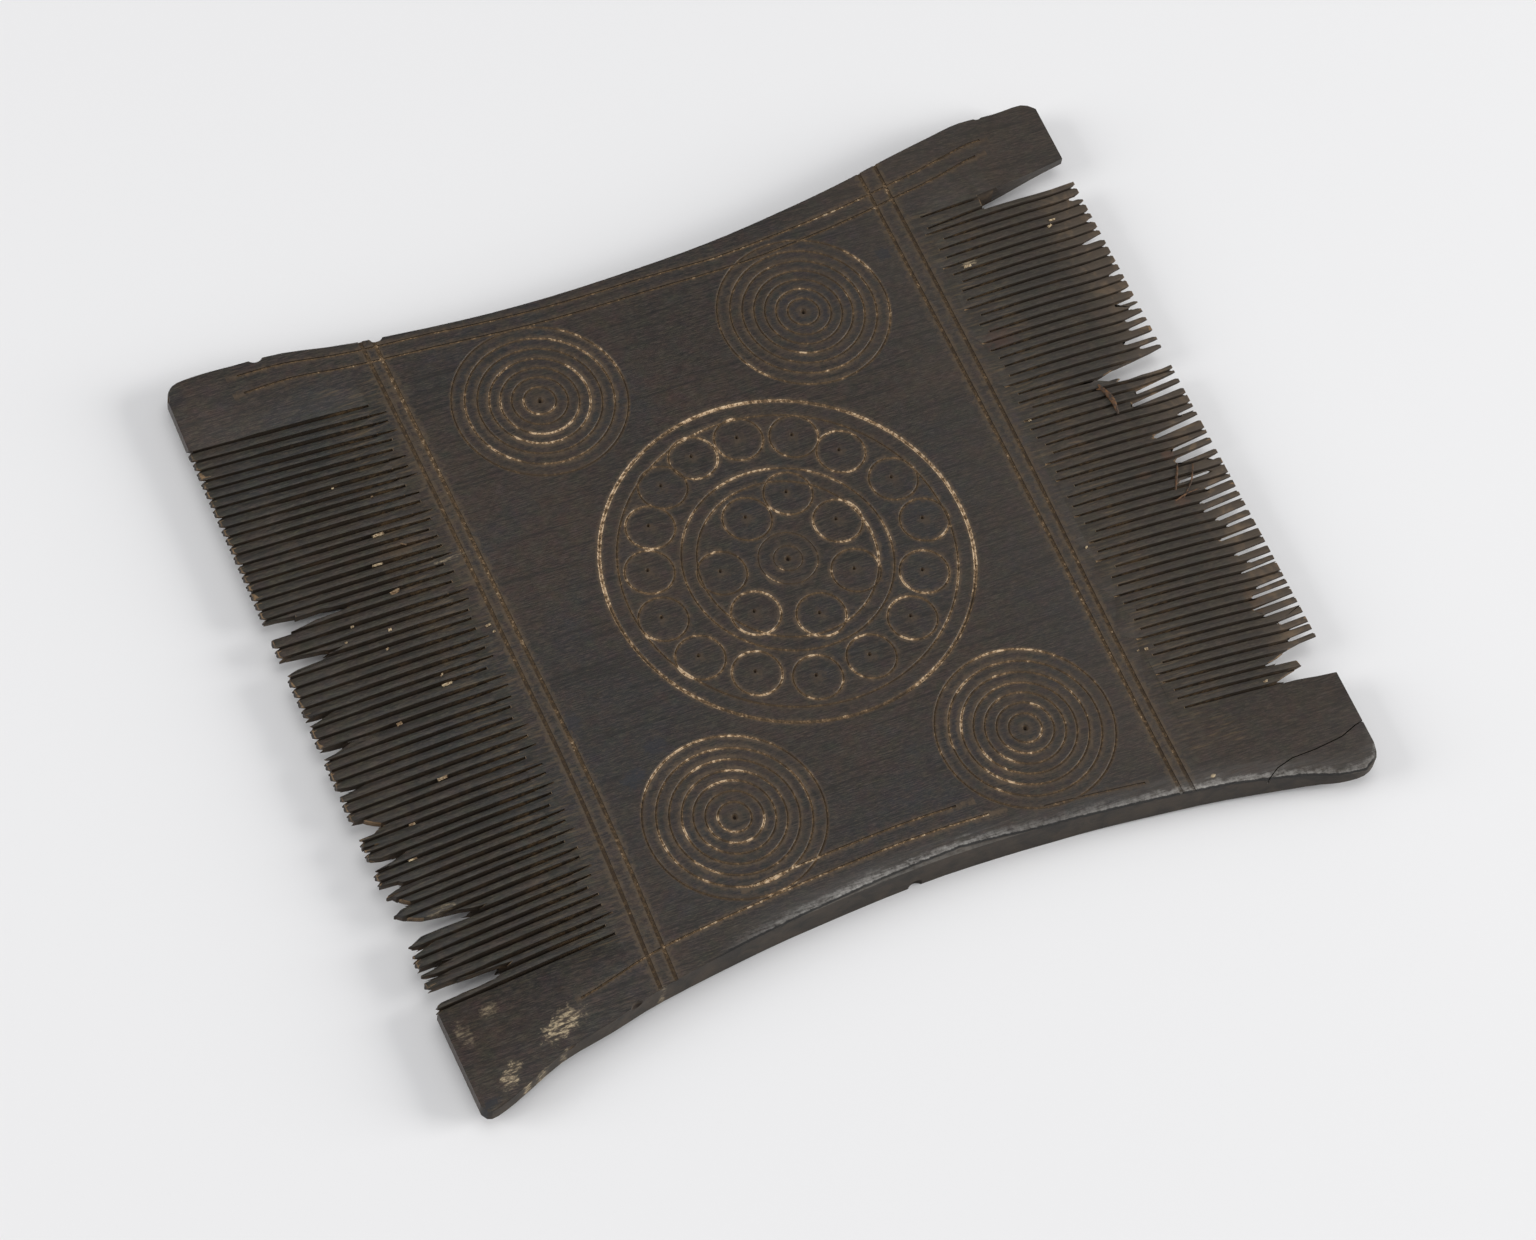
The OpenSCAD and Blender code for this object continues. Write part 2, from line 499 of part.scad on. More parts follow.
// Everything within a depth below the top face, wherever that face slopes
module skin(d) {
    across_board(concat(top_line(-d), reversed(top_line(beyond))));
}

// A band in plan with the line through its middle, half a width to either side
module band(points, half) {
    polygon(concat([for (p = points) p + half], reversed([for (p = points) p - half])));
}

// A line that follows one edge at a changing distance
module edge_line(curve, row, side) {
    band([for (p = curve) if (p[0] >= row[0][0] && p[0] <= row[len(row) - 1][0])
        [p[0], p[1] - side * lookup(p[0], row)]], [0, edge_line_w / 2]);
}

module cross_line(row) {
    band(smooth([for (i = [0:len(row) - 1]) [row[i], CROSS_Y[i]]], plan_steps), [line_w / 2, 0]);
}

module border_lines() {
    intersection() {
        linear_extrude(height = 2 * board_t)
            union() {
                for (row = FAR_LINES)
                    edge_line(far_curve, row, 1);
                for (row = NEAR_LINES)
                    edge_line(reversed(near_curve), row, -1);
                for (row = CROSS_LINES)
                    cross_line(row);
            }
        skin(line_d);
    }
}

module crack() {
    intersection() {
        linear_extrude(height = 2 * board_t)
            band(CRACK, [0, crack_w / 2]);
        skin(crack_d);
    }
}

module chips() {
    for (c = CHIPS)
        translate([c[0], c[1], c[2]])
            sphere(r = c[3], $fn = 24);
}

module comb() {
    color("#3b3633")
        difference() {
            board();
            kerfs();
            filed_tips();
            worn_teeth();
            for (c = ROSETTES)
                translate([c[0], c[1], 0])
                    rosette();
            medallion();
            border_lines();
            crack();
            chips();
        }
}

comb();
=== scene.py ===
import math

import bmesh
import bpy
import numpy as np
from mathutils import Matrix, Vector


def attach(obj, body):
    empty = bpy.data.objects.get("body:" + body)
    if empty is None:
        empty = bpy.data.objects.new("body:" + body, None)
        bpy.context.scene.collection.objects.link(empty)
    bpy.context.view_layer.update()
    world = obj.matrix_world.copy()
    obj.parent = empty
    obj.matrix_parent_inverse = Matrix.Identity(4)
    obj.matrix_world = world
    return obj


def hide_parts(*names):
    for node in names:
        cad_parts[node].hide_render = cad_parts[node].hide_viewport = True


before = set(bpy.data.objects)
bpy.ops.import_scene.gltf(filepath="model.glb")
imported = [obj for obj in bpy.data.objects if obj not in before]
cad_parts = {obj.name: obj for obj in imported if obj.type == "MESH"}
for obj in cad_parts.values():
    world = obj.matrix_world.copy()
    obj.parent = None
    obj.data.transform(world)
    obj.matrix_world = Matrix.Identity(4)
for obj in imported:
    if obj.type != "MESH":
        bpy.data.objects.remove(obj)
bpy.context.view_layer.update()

# The comb: one board of a dense dark wood, ebony by its look, sawn into teeth from both ends and
# engraved with a compass and a scraper. Hands have worn it to a satin, paler along the near arris, where a
# highlight is painted on, and tan dust and old grease have settled in the engraving and at the roots of the
# teeth.
MM = 0.001
BOARD_T = 4.0
LEFT_THINNING, RIGHT_THINNING = 2.4, 3.1
# Columns: x, share of the thinning taken off the top, as in the solid
LEFT_SECTION = [(-53.6, 0.50), (-45.0, 0.30), (-40.0, 0.18), (-36.0, 0.11), (-32.5, 0.05), (-28.5, 0.0),
                (-20.0, 0.0), (-13.0, 0.0)]
RIGHT_SECTION = [(13.0, 0.0), (19.0, 0.0), (25.0, 0.0), (30.0, 0.02), (36.0, 0.10), (40.0, 0.20),
                 (42.0, 0.26),
                 (44.2, 0.31), (46.0, 0.33), (49.6, 0.34)]
NEAR_EDGE = [(-50.6, -47.1), (-47.8, -46.3), (-42.1, -43.9), (-36.5, -42.6), (-30.1, -40.9), (-21.1, -39.4),
             (-13.0, -38.4), (-1.6, -37.6), (7.3, -37.6), (15.5, -38.0), (23.6, -38.8), (31.8, -39.8),
             (40.1, -41.4),
             (43.3, -42.4), (45.9, -42.7), (47.6, -41.7), (48.15, -40.0)]
FAR_EDGE = [(-53.0, 40.3), (-52.5, 41.2), (-51.4, 41.9), (-48.5, 42.0), (-45.3, 41.8), (-40.0, 41.4),
            (-32.5, 39.9),
            (-21.1, 38.8), (-11.4, 38.5), (-1.6, 38.8), (7.3, 39.4), (15.5, 40.5), (23.6, 41.9), (30.1, 43.4),
            (35.9, 44.7), (39.6, 45.5), (43.9, 45.6), (47.4, 45.8), (48.8, 44.8)]

# How much dust each ring holds. Columns: centre x, y, radius, all round, then stretches (from, to, how much)
RINGS = [
    (0, 0, 19.4, 0.6, [(-25, 50, 0.95), (60, 78, 0.75), (78, 103, 1.0), (120, 178, 0.95), (208, 222, 0.85),
                       (228, 262, 0.5), (262, 290, 0.3), (290, 300, 0.9), (-40, -30, 0.4)]),
    (0, 0, 17.6, 0.18, [(92, 125, 0.75), (138, 200, 0.35), (-5, 12, 0.4), (-35, -16, 0.8), (-55, -38, 0.6)]),
    (0, 0, 11.0, 0.3, [(75, 112, 0.95), (35, 62, 0.75), (-14, 8, 0.8), (125, 150, 0.7), (170, 232, 0.5)]),
    (0, 0, 9.4, 0.25, [(100, 132, 0.8), (-22, 22, 0.85), (-75, -48, 0.6), (170, 200, 0.4)]),
    (0, 0, 3.1, 0.12, [(200, 232, 1.0), (-60, -20, 0.35)]),
    (0, 0, 1.5, 0.1, [(205, 235, 0.9)]),
]
SMALL_CIRCLES = [
    (107.3, 15.3, 0.55, [(-45, 45, 0.9), (240, 300, 0.75), (150, 230, 0.5)]),
    (86.9, 15.2, 0.45, [(180, 225, 0.8), (75, 105, 0.8), (-45, -25, 0.7), (250, 285, 0.75)]),
    (64.7, 15.0, 0.4, [(185, 225, 0.75), (-45, 10, 0.6), (250, 300, 0.15)]),
    (44.6, 14.5, 0.55, [(80, 125, 0.8), (255, 285, 0.85), (-30, 0, 0.7)]),
    (20.3, 15.1, 0.4, [(160, 210, 0.55), (-10, 30, 0.5), (250, 300, 0.3)]),
    (-1.7, 15.2, 0.4, [(165, 200, 0.6), (285, 318, 1.0), (70, 120, 0.3)]),
    (-26.3, 14.1, 0.5, [(165, 222, 1.0), (235, 270, 0.75), (55, 115, 0.6)]),
    (-49.7, 14.3, 0.45, [(85, 135, 0.85), (210, 255, 0.9)]),
    (-75.8, 14.1, 0.35, [(75, 120, 0.85), (190, 225, 0.85), (240, 290, 0.55)]),
    (-100.6, 14.3, 0.4, [(55, 105, 0.95), (-50, -25, 0.85), (215, 250, 0.8)]),
    (-125.7, 14.2, 0.5, [(55, 115, 0.95), (-45, -15, 1.0), (235, 295, 0.9), (140, 170, 0.8)]),
    (-148.8, 15.2, 0.5, [(180, 245, 0.95), (60, 110, 0.55)]),
    (-170.8, 15.0, 0.35, [(195, 240, 0.9), (75, 110, 0.5)]),
    (166.9, 14.4, 0.5, [(145, 215, 0.7), (245, 295, 0.65)]),
    (145.4, 14.5, 0.5, [(95, 155, 0.85), (160, 200, 0.7), (230, 275, 0.8)]),
    (125.8, 15.2, 0.2, [(140, 200, 0.4)]),
    (67.0, 7.9, 0.45, [(195, 250, 1.0), (80, 125, 0.6), (-10, 25, 0.6)]),
    (20.3, 7.1, 0.5, [(-5, 65, 1.0), (160, 215, 0.9), (245, 290, 0.85)]),
    (-31.4, 7.1, 0.3, [(55, 105, 0.6), (-10, 25, 0.85), (150, 185, 0.75)]),
    (-85.4, 7.4, 0.45, [(170, 240, 0.9), (250, 285, 1.0), (-35, 0, 0.75)]),
    (-138.8, 7.5, 0.6, [(5, 60, 1.0), (205, 300, 1.0), (-20, 0, 0.8)]),
    (174.8, 7.1, 0.3, [(70, 125, 0.65), (-30, 20, 0.5), (230, 290, 0.12)]),
    (110.0, 6.2, 0.35, [(120, 205, 0.6)]),
]
ROSETTE_RADII = [1.7, 2.95, 4.15, 5.3, 6.55, 7.85, 9.25]
# Columns: centre, then for each ring from the middle outwards how much all round and its stretches
ROSETTES = [
    ((-16.9, 26.6), [(0.45, [(150, 320, 0.8)]), (0.35, []),
                     (0.35, [(150, 215, 0.7), (232, 305, 1.0), (305, 335, 0.75)]),
                     (0.45, [(215, 280, 0.95), (-60, 40, 0.85), (100, 175, 0.6)]), (0.35, []),
                     (0.4, [(150, 200, 0.6), (203, 232, 0.85), (248, 292, 0.6), (-20, -6, 0.8),
                            (4, 75, 0.7)]),
                     (0.12, [(0, 62, 0.65), (-32, -24, 0.7), (150, 210, 0.25)])]),
    ((13.6, 27.8), [(0.4, []), (0.4, [(40, 140, 0.5)]), (0.3, []), (0.3, [(238, 262, 0.95), (-20, 20, 0.45)]),
                    (0.35, [(-30, 30, 0.4)]), (0.35, [(252, 290, 0.6), (-25, 20, 0.5), (130, 150, 0.5)]),
                    (0.3, [(200, 228, 0.7), (12, 38, 0.8), (-35, -8, 0.6), (250, 290, 0.4)])]),
    ((-16.8, -26.0), [(0.4, [(150, 300, 0.75)]), (0.4, [(235, 292, 0.95), (180, 215, 0.9), (-45, -10, 1.0)]),
                      (0.4, [(65, 112, 1.0), (195, 225, 0.7), (-30, 20, 0.5)]),
                      (0.5, [(110, 135, 0.75), (48, 75, 1.0), (170, 195, 0.95)]),
                      (0.4, [(68, 112, 0.85), (208, 238, 0.85)]),
                      (0.45, [(75, 118, 0.75), (45, 70, 0.6), (0, 25, 0.7), (172, 205, 0.85),
                              (218, 235, 0.75)]),
                      (0.2, [(98, 145, 1.0), (84, 98, 0.8), (52, 80, 0.95), (38, 52, 0.6), (5, 25, 0.45)])]),
    ((14.8, -26.7), [(0.3, [(-60, 60, 0.7), (240, 300, 0.6)]),
                     (0.3, [(30, 60, 0.9), (200, 290, 0.7), (-20, 30, 0.5)]),
                     (0.4, [(208, 235, 0.95), (60, 120, 0.5), (-30, 30, 0.5)]),
                     (0.4, [(185, 208, 1.0), (215, 240, 0.7), (60, 120, 0.6)]),
                     (0.4, [(138, 172, 0.95), (78, 102, 0.7), (205, 245, 0.95), (10, 35, 0.65)]),
                     (0.35, [(108, 130, 0.95), (60, 100, 0.6), (140, 180, 0.6), (215, 235, 0.6),
                             (280, 300, 0.4)]),
                     (0.3, [(74, 102, 1.0), (48, 74, 0.8), (30, 48, 0.6), (105, 135, 0.5),
                            (160, 200, 0.4)])]),
]
SMALL_RADIUS = 2.58

# Lines across the board: their x at each y of CROSS_Y, then how much dust they hold at each y
CROSS_Y = [-42, -20, 0, 20, 44]
CROSS_LINES = [
    ([-30.9, -30.4, -30.8, -31.3, -32.1],
     [(-42, 0.15), (-30, 0.3), (-18, 0.25), (-6, 0.35), (2, 0.5), (6, 0.5), (11, 0.8), (14, 0.4), (22, 0.5),
      (30, 0.4), (44, 0.25)]),
    ([-29.1, -28.7, -29.3, -29.9, -30.8],
     [(-42, 0.25), (-33, 0.35), (-28, 0.8), (-24, 0.75), (-20, 0.4), (-14, 0.75), (-10, 0.6), (-4, 0.4),
      (2, 0.7), (8, 0.9), (14, 0.65), (22, 0.8), (30, 1.0), (37, 0.8), (44, 0.3)]),
    ([26.6, 26.6, 26.7, 26.6, 26.3],
     [(-38, 0.5), (-30, 0.6), (-20, 0.75), (-10, 0.65), (0, 0.6), (8, 0.45), (20, 0.5), (36, 0.55),
      (44, 0.3)]),
    ([27.9, 27.9, 28.4, 28.5, 28.4],
     [(-38, 0.35), (-30, 0.45), (-20, 0.55), (-12, 0.5), (0, 0.35), (20, 0.3), (44, 0.2)]),
]
# Lines along the edges: their distance from the edge at each x, then how much dust they hold at each x
EDGE_LINES = [
    (FAR_EDGE, -1, [(-46.5, 1.4), (-38, 1.3), (-25, 0.8), (0, 1.4), (8, 2.1), (32, 3.2), (42, 2.8)],
     [(-46, 0.5), (-38, 0.45), (-25, 0.3), (-10, 0.35), (0, 0.4), (8, 0.55), (18, 0.5), (21, 0.9), (24, 0.6),
      (32, 0.45), (42, 0.3)]),
    (FAR_EDGE, -1, [(-46.5, 3.7), (-33, 2.8), (-23, 2.5), (0, 3.1), (13, 4.1), (33, 5.0), (41, 4.6)],
     [(-46, 0.35), (-33, 0.4), (-10, 0.3), (0, 0.35), (13, 0.4), (33, 0.45), (41, 0.3)]),
    (NEAR_EDGE, 1, [(-39, 3.9), (-28, 3.7), (-18, 3.3), (9.2, 3.1)],
     [(-39, 0.3), (-32, 0.5), (-25, 0.7), (-19, 0.8), (-16, 0.7), (-14, 1.0), (-12, 0.7), (-6, 0.45),
      (0, 0.9), (3, 0.5), (7.5, 1.0), (9, 0.3)]),
    (NEAR_EDGE, 1, [(11.6, 2.2), (24, 2.1)], [(11, 0.2), (24, 0.2)]),
    (NEAR_EDGE, 1, [(-19.5, 5.2), (6.5, 5.0)], [(-19.5, 0.9), (-13, 0.9), (-9, 0.5), (6.5, 0.35)]),
]
# How far from its middle a ring or a line holds dust, how softly a stretch ends, and how full they are
RING_HALF, LINE_HALF, FADE_DEGREES = 0.34, 0.44, 9.0
ROSETTE_DUST, CROSS_DUST = 0.74, 0.68
# The teeth between the guards: y of the first and last, x of their roots, x from where on their facets
# can be merged. Then how far their arrises are rounded, and the angle that is shaded smooth
TEETH_Y, ROOTS_X, PLAIN_X = (-35.7, 36.3), (-32.7, 29.8), (-40.05, 36.05)
ARRIS, SMOOTH_DEGREES = 0.09, 28

for direction, reach, level, stretches in SMALL_CIRCLES:
    turn = math.radians(direction)
    RINGS.append((reach * math.cos(turn), reach * math.sin(turn), SMALL_RADIUS, level, stretches))
for (centre_x, centre_y), rings in ROSETTES:
    RINGS += [(centre_x, centre_y, r, ROSETTE_DUST * level, stretches)
              for r, (level, stretches) in zip(ROSETTE_RADII, rings)]


def across(rows, places):
    """The value of a two-column table at each of the places."""
    return np.interp(places, [row[0] for row in rows], [row[1] for row in rows])


def dust_in_engraving(points):
    """From 0 to 1, how much dust the engraving holds at each point of the top, by the tables above."""
    px, py = points[:, 0], points[:, 1]
    held = np.zeros(len(points))
    for cx, cy, r, level, stretches in RINGS:
        near = np.abs(np.hypot(px - cx, py - cy) - r) < RING_HALF
        angle = np.degrees(np.arctan2(py - cy, px - cx))[near]
        here = np.full(angle.shape, float(level))
        for start, stop, amount in stretches:
            off = np.abs((angle - (start + stop) / 2 + 180) % 360 - 180) - (stop - start) / 2
            share = np.clip(0.5 - off / FADE_DEGREES, 0, 1)
            here += (amount - here) * share
        held[near] = np.maximum(held[near], here)
    for xs, dust in CROSS_LINES:
        near = np.abs(px - np.interp(py, CROSS_Y, xs)) < LINE_HALF
        held[near] = np.maximum(held[near], CROSS_DUST * across(dust, py[near]))
    for edge, side, away, dust in EDGE_LINES:
        off = np.abs(py - across(edge, px) - side * across(away, px))
        near = (off < LINE_HALF) & (px > away[0][0] - 0.3) & (px < away[-1][0] + 0.3)
        held[near] = np.maximum(held[near], across(dust, px[near]))
    return held


def in_teeth(mesh, limits):
    """The vertices of the teeth that lie left of the first or right of the second x."""
    low, high = (v * MM for v in limits)
    return {v for v in mesh.verts if not low < v.co.x < high and TEETH_Y[0] * MM < v.co.y < TEETH_Y[1] * MM}


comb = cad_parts["comb"].copy()
comb.data = comb.data.copy()
comb.name = comb.data.name = "worn_comb"
bpy.context.scene.collection.objects.link(comb)
comb.parent = None
for name in [a.name for a in comb.data.attributes if a.name == "custom_normal"]:
    comb.data.attributes.remove(comb.data.attributes[name])
body = bmesh.new()
body.from_mesh(comb.data)
bmesh.ops.remove_doubles(body, verts=body.verts, dist=0.0005 * MM)
# The long facets of the straight lines are cut at every station, so that each point can hold its own dust
STATIONS, REACH = np.arange(-41, 43, 1.5), 1.2
for xs, _ in CROSS_LINES:
    middles = [(f, f.calc_center_median() / MM) for f in body.faces if f.normal.z > 0.2]
    beside = [f for f, m in middles if abs(m.x - np.interp(m.y, CROSS_Y, xs)) < REACH and m.z > 3]
    whole = list({g for f in beside for g in (f, *f.edges, *f.verts)})
    for y in STATIONS:
        whole = bmesh.ops.bisect_plane(body, geom=whole, dist=1e-7, plane_co=(0, y * MM, 0),
                                       plane_no=(0, 1, 0))["geom"]
# Use has rounded the upper arrises of the teeth
toothed = in_teeth(body, PLAIN_X)
bmesh.ops.dissolve_limit(body, angle_limit=math.radians(0.6), verts=[],
                         edges=[e for e in body.edges if toothed.issuperset(e.verts)])
toothed = in_teeth(body, ROOTS_X)
arrises = []
for edge in body.edges:
    if len(edge.link_faces) == 2 and edge.is_convex and toothed.issuperset(edge.verts):
        low, high = sorted(f.normal.z for f in edge.link_faces)
        if high > 0.9 and abs(low) < 0.5:
            arrises.append(edge)
bmesh.ops.bevel(body, geom=arrises, offset=ARRIS * MM, offset_type="OFFSET", segments=2, profile=0.5,
                affect="EDGES", material=-1)
body.to_mesh(comb.data)
body.free()
points = np.empty(len(comb.data.vertices) * 3)
comb.data.vertices.foreach_get("co", points)
dust_held = comb.data.attributes.new("dust", "FLOAT", "POINT")
dust_held.data.foreach_set("value", dust_in_engraving(points.reshape(-1, 3) / MM).astype(np.float32))
comb.data.materials.clear()
bpy.ops.object.select_all(action="DESELECT")
comb.select_set(True)
bpy.context.view_layer.objects.active = comb
bpy.ops.object.shade_smooth_by_angle(angle=math.radians(SMOOTH_DEGREES))


def linear(hex_colour):
    """An sRGB hex colour as a linear colour with alpha."""
    shares = [int(hex_colour[i:i + 2], 16) / 255 for i in (1, 3, 5)]
    return tuple(s / 12.92 if s <= 0.04045 else ((s + 0.055) / 1.055) ** 2.4 for s in shares) + (1.0,)


def add(tree, kind, inputs=(), out=0, **settings):
    """Adds a node, sets or links its inputs by name or number, and returns one of its outputs."""
    made = tree.nodes.new("ShaderNode" + kind)
    for name, value in settings.items():
        setattr(made, name, value)
    for name, value in dict(inputs).items():
        if isinstance(value, bpy.types.NodeSocket):
            tree.links.new(value, made.inputs[name])
        else:
            made.inputs[name].default_value = value
    return made.outputs[out]


def profile(tree, along, rows, low, high, start=-60.0, stop=60.0):
    """A table of values from low to high along one coordinate, as a curve straight between its rows."""
    share = add(tree, "MapRange", {0: along, 1: start, 2: stop})
    curve = tree.nodes.new("ShaderNodeFloatCurve")
    tree.links.new(share, curve.inputs["Value"])
    knots = curve.mapping.curves[0].points
    rows = sorted(rows)
    rows = [(start, rows[0][1])] + rows + [(stop, rows[-1][1])]
    places = [((x - start) / (stop - start), (v - low) / (high - low)) for x, v in rows]
    knots[0].location, knots[1].location = places[0], places[-1]
    for place in places[1:-1]:
        knots.new(*place)
    for knot in knots:
        knot.handle_type = "VECTOR"
    curve.mapping.update()
    return add(tree, "MapRange", {0: curve.outputs[0], 3: low, 4: high})


def smoothed(rows):
    """The rows with one more point of a smooth curve between each two, as in the solid."""
    rows = np.array(rows)
    made = []
    for i in range(len(rows) - 1):
        a, b, c, d = rows[max(i - 1, 0)], rows[i], rows[i + 1], rows[min(i + 2, len(rows) - 1)]
        made += [b, (9 * (b + c) - a - d) / 16]
    return np.array(made + [rows[-1]])


def spot(tree, place, centre, halves, turn, ragged):
    """From 0 to 1, a ragged patch on the top face, by its centre, half-sizes and turn in degrees."""
    own = add(tree, "Mapping", {"Vector": place, "Location": (*centre, 0),
                                "Rotation": (0, 0, math.radians(turn)),
                                "Scale": (*halves, 1000)}, vector_type="TEXTURE")
    reach = add(tree, "VectorMath", {0: own}, out=1, operation="LENGTH")
    off = add(tree, "Math", {0: ragged, 1: 2.8, 2: reach}, operation="MULTIPLY_ADD")
    return add(tree, "MapRange", {0: off, 1: 2.65, 2: 1.8}, interpolation_type="SMOOTHSTEP")


# Ebony, scraped level along its grain and then worn by hands: nearly black, with fine brown fibres and
# bands, and a satin sheen that breaks up along the grain
wood = bpy.data.materials.new("ebony, scraped and worn")
wood.use_nodes = True
tree = wood.node_tree
tree.nodes.clear()
coordinates = tree.nodes.new("ShaderNodeTexCoord")
place = add(tree, "VectorMath", {0: coordinates.outputs["Object"], "Scale": 1000.0}, operation="SCALE")
parts = tree.nodes.new("ShaderNodeSeparateXYZ")
tree.links.new(place, parts.inputs[0])
x, y, z = parts.outputs
facing = tree.nodes.new("ShaderNodeSeparateXYZ")
tree.links.new(coordinates.outputs["Normal"], facing.inputs[0])
up = facing.outputs[2]
endways = add(tree, "Math", {0: facing.outputs[0]}, operation="ABSOLUTE")
not_under = add(tree, "MapRange", {0: up, 1: -0.85, 2: -0.6})
not_steep = add(tree, "MapRange", {0: up, 1: 0.3, 2: 0.5})
level_face = add(tree, "MapRange", {0: up, 1: 0.6, 2: 0.9})

# Depth below the top face, and where the saw has been
section = [(row[0], BOARD_T - row[1] * LEFT_THINNING) for row in smoothed(LEFT_SECTION)]
section += [(row[0], BOARD_T - row[1] * RIGHT_THINNING) for row in smoothed(RIGHT_SECTION)]
depth = add(tree, "Math", {0: profile(tree, x, section, 2.0, 4.0), 1: z}, operation="SUBTRACT")
# Columns: x of the roots, on which side of it the row is, y of its middle, half its width
ROWS = ((-32.6, "LESS_THAN", -1.15, 34.45), (29.7, "GREATER_THAN", 2.55, 33.65))
rows = 0.0
for roots_x, side, middle, half in ROWS:
    beyond = add(tree, "Math", {0: x, 1: roots_x}, operation=side)
    between = add(tree, "Math", {0: y, 1: middle, 2: half}, operation="COMPARE")
    rows = add(tree, "Math", {0: beyond, 1: between, 2: rows}, operation="MULTIPLY_ADD")
rows = add(tree, "Math", {0: rows, 1: not_under}, operation="MULTIPLY")
off_rows = add(tree, "Math", {0: 1.0, 1: rows}, operation="SUBTRACT")
in_rows = add(tree, "MapRange", {0: depth, 1: 0.03, 2: 0.5})
sawn = add(tree, "Math", {0: rows, 1: in_rows}, operation="MULTIPLY")

# Grain: fibres about 0.2 mm wide and 4 mm long, bands a few millimetres wide, and stains of a few sizes
along_grain = add(tree, "VectorMath", {0: place, 1: (0.35, 5.0, 5.0)}, operation="MULTIPLY")
fibres = add(tree, "TexNoise", {"Vector": along_grain, "Scale": 1.0, "Detail": 6.0, "Roughness": 0.72})
along_bands = add(tree, "VectorMath", {0: place, 1: (0.03, 0.4, 0.4)}, operation="MULTIPLY")
bands = add(tree, "TexNoise", {"Vector": along_bands, "Scale": 1.0, "Detail": 3.0})
blotches = add(tree, "TexNoise", {"Vector": place, "Scale": 0.11, "Detail": 4.0, "Roughness": 0.6})
washes = add(tree, "TexNoise", {"Vector": place, "Scale": 0.05, "Detail": 3.0, "Roughness": 0.5,
                                "Distortion": 0.8})
specks = add(tree, "TexNoise", {"Vector": place, "Scale": 3.2, "Detail": 4.0, "Roughness": 0.7})
crumbs = add(tree, "TexNoise", {"Vector": place, "Scale": 1.5, "Detail": 4.0, "Roughness": 0.7})
stains = add(tree, "TexNoise", {"Vector": place, "Scale": 0.45, "Detail": 3.0, "Roughness": 0.6,
                                "Distortion": 0.6})

grain = add(tree, "MapRange", {0: fibres, 1: 0.36, 2: 0.64})
colour = add(tree, "Mix", {0: grain, 6: linear("#191512"), 7: linear("#382f28")}, out=2, data_type="RGBA")
along_threads = add(tree, "VectorMath", {0: place, 1: (0.9, 7.5, 7.5)}, operation="MULTIPLY")
threads = add(tree, "TexNoise", {"Vector": along_threads, "Scale": 1.0, "Detail": 4.0, "Roughness": 0.85})
# Columns: noise, its value where the stain starts, its value where it is full, strength, colour
STAINS = ((washes, 0.5, 0.62, 0.4, "#3d2f25"), (washes, 0.48, 0.38, 0.4, "#212428"),
          (bands, 0.42, 0.72, 0.35, "#382d24"), (blotches, 0.52, 0.68, 0.45, "#26282c"),
          (stains, 0.55, 0.72, 0.4, "#3b2c22"), (stains, 0.46, 0.3, 0.4, "#24251c"),
          (crumbs, 0.52, 0.72, 0.3, "#3d342c"), (specks, 0.5, 0.3, 0.4, "#13100e"),
          (threads, 0.52, 0.62, 0.75, "#4a4138"), (threads, 0.48, 0.38, 0.75, "#0f0c0a"))
for stain, start, stop, strength, tint in STAINS:
    share = add(tree, "MapRange", {0: stain, 1: start, 2: stop, 4: strength})
    colour = add(tree, "Mix", {0: share, 6: colour, 7: linear(tint)}, out=2, data_type="RGBA")

# A few long dark lines of grain run right along the board
along_lines = add(tree, "VectorMath", {0: place, 1: (0.06, 2.2, 2.2)}, operation="MULTIPLY")
long_lines = add(tree, "TexNoise", {"Vector": along_lines, "Scale": 1.0, "Detail": 2.0, "Distortion": 0.3})
long_lines = add(tree, "MapRange", {0: long_lines, 1: 0.57, 2: 0.66, 4: 0.55})
colour = add(tree, "Mix", {0: long_lines, 6: colour, 7: linear("#15120f")}, out=2, data_type="RGBA")

# The hue wanders a little, the rows of teeth are greener, and the right of the board is paler
mottle = add(tree, "TexNoise", {"Vector": place, "Scale": 0.7, "Detail": 4.0, "Roughness": 0.6}, out=1)
mottle = add(tree, "VectorMath", {0: mottle, 1: (0.55, 0.55, 0.55), 2: (0.725, 0.725, 0.725)},
             operation="MULTIPLY_ADD")
colour = add(tree, "VectorMath", {0: colour, 1: mottle}, operation="MULTIPLY")

olive = add(tree, "Mix", {0: rows, 6: (1.0, 1.0, 1.0, 1.0), 7: (0.89, 0.95, 0.86, 1.0)}, out=2,
            data_type="RGBA")
colour = add(tree, "VectorMath", {0: colour, 1: olive}, operation="MULTIPLY")
paler_right = add(tree, "MapRange", {0: x, 1: 8.0, 2: 32.0, 4: 0.24}, interpolation_type="SMOOTHSTEP")
colour = add(tree, "Mix", {0: paler_right, 6: colour, 7: linear("#48413a")}, out=2, data_type="RGBA")

# The saw has scratched the roots of the teeth, and brown dust has stayed in the scratches
along_saw = add(tree, "VectorMath", {0: place, 1: (0.3, 3.4, 3.4)}, operation="MULTIPLY")
saw_marks = add(tree, "TexNoise", {"Vector": along_saw, "Scale": 1.0, "Detail": 4.0, "Roughness": 0.7})
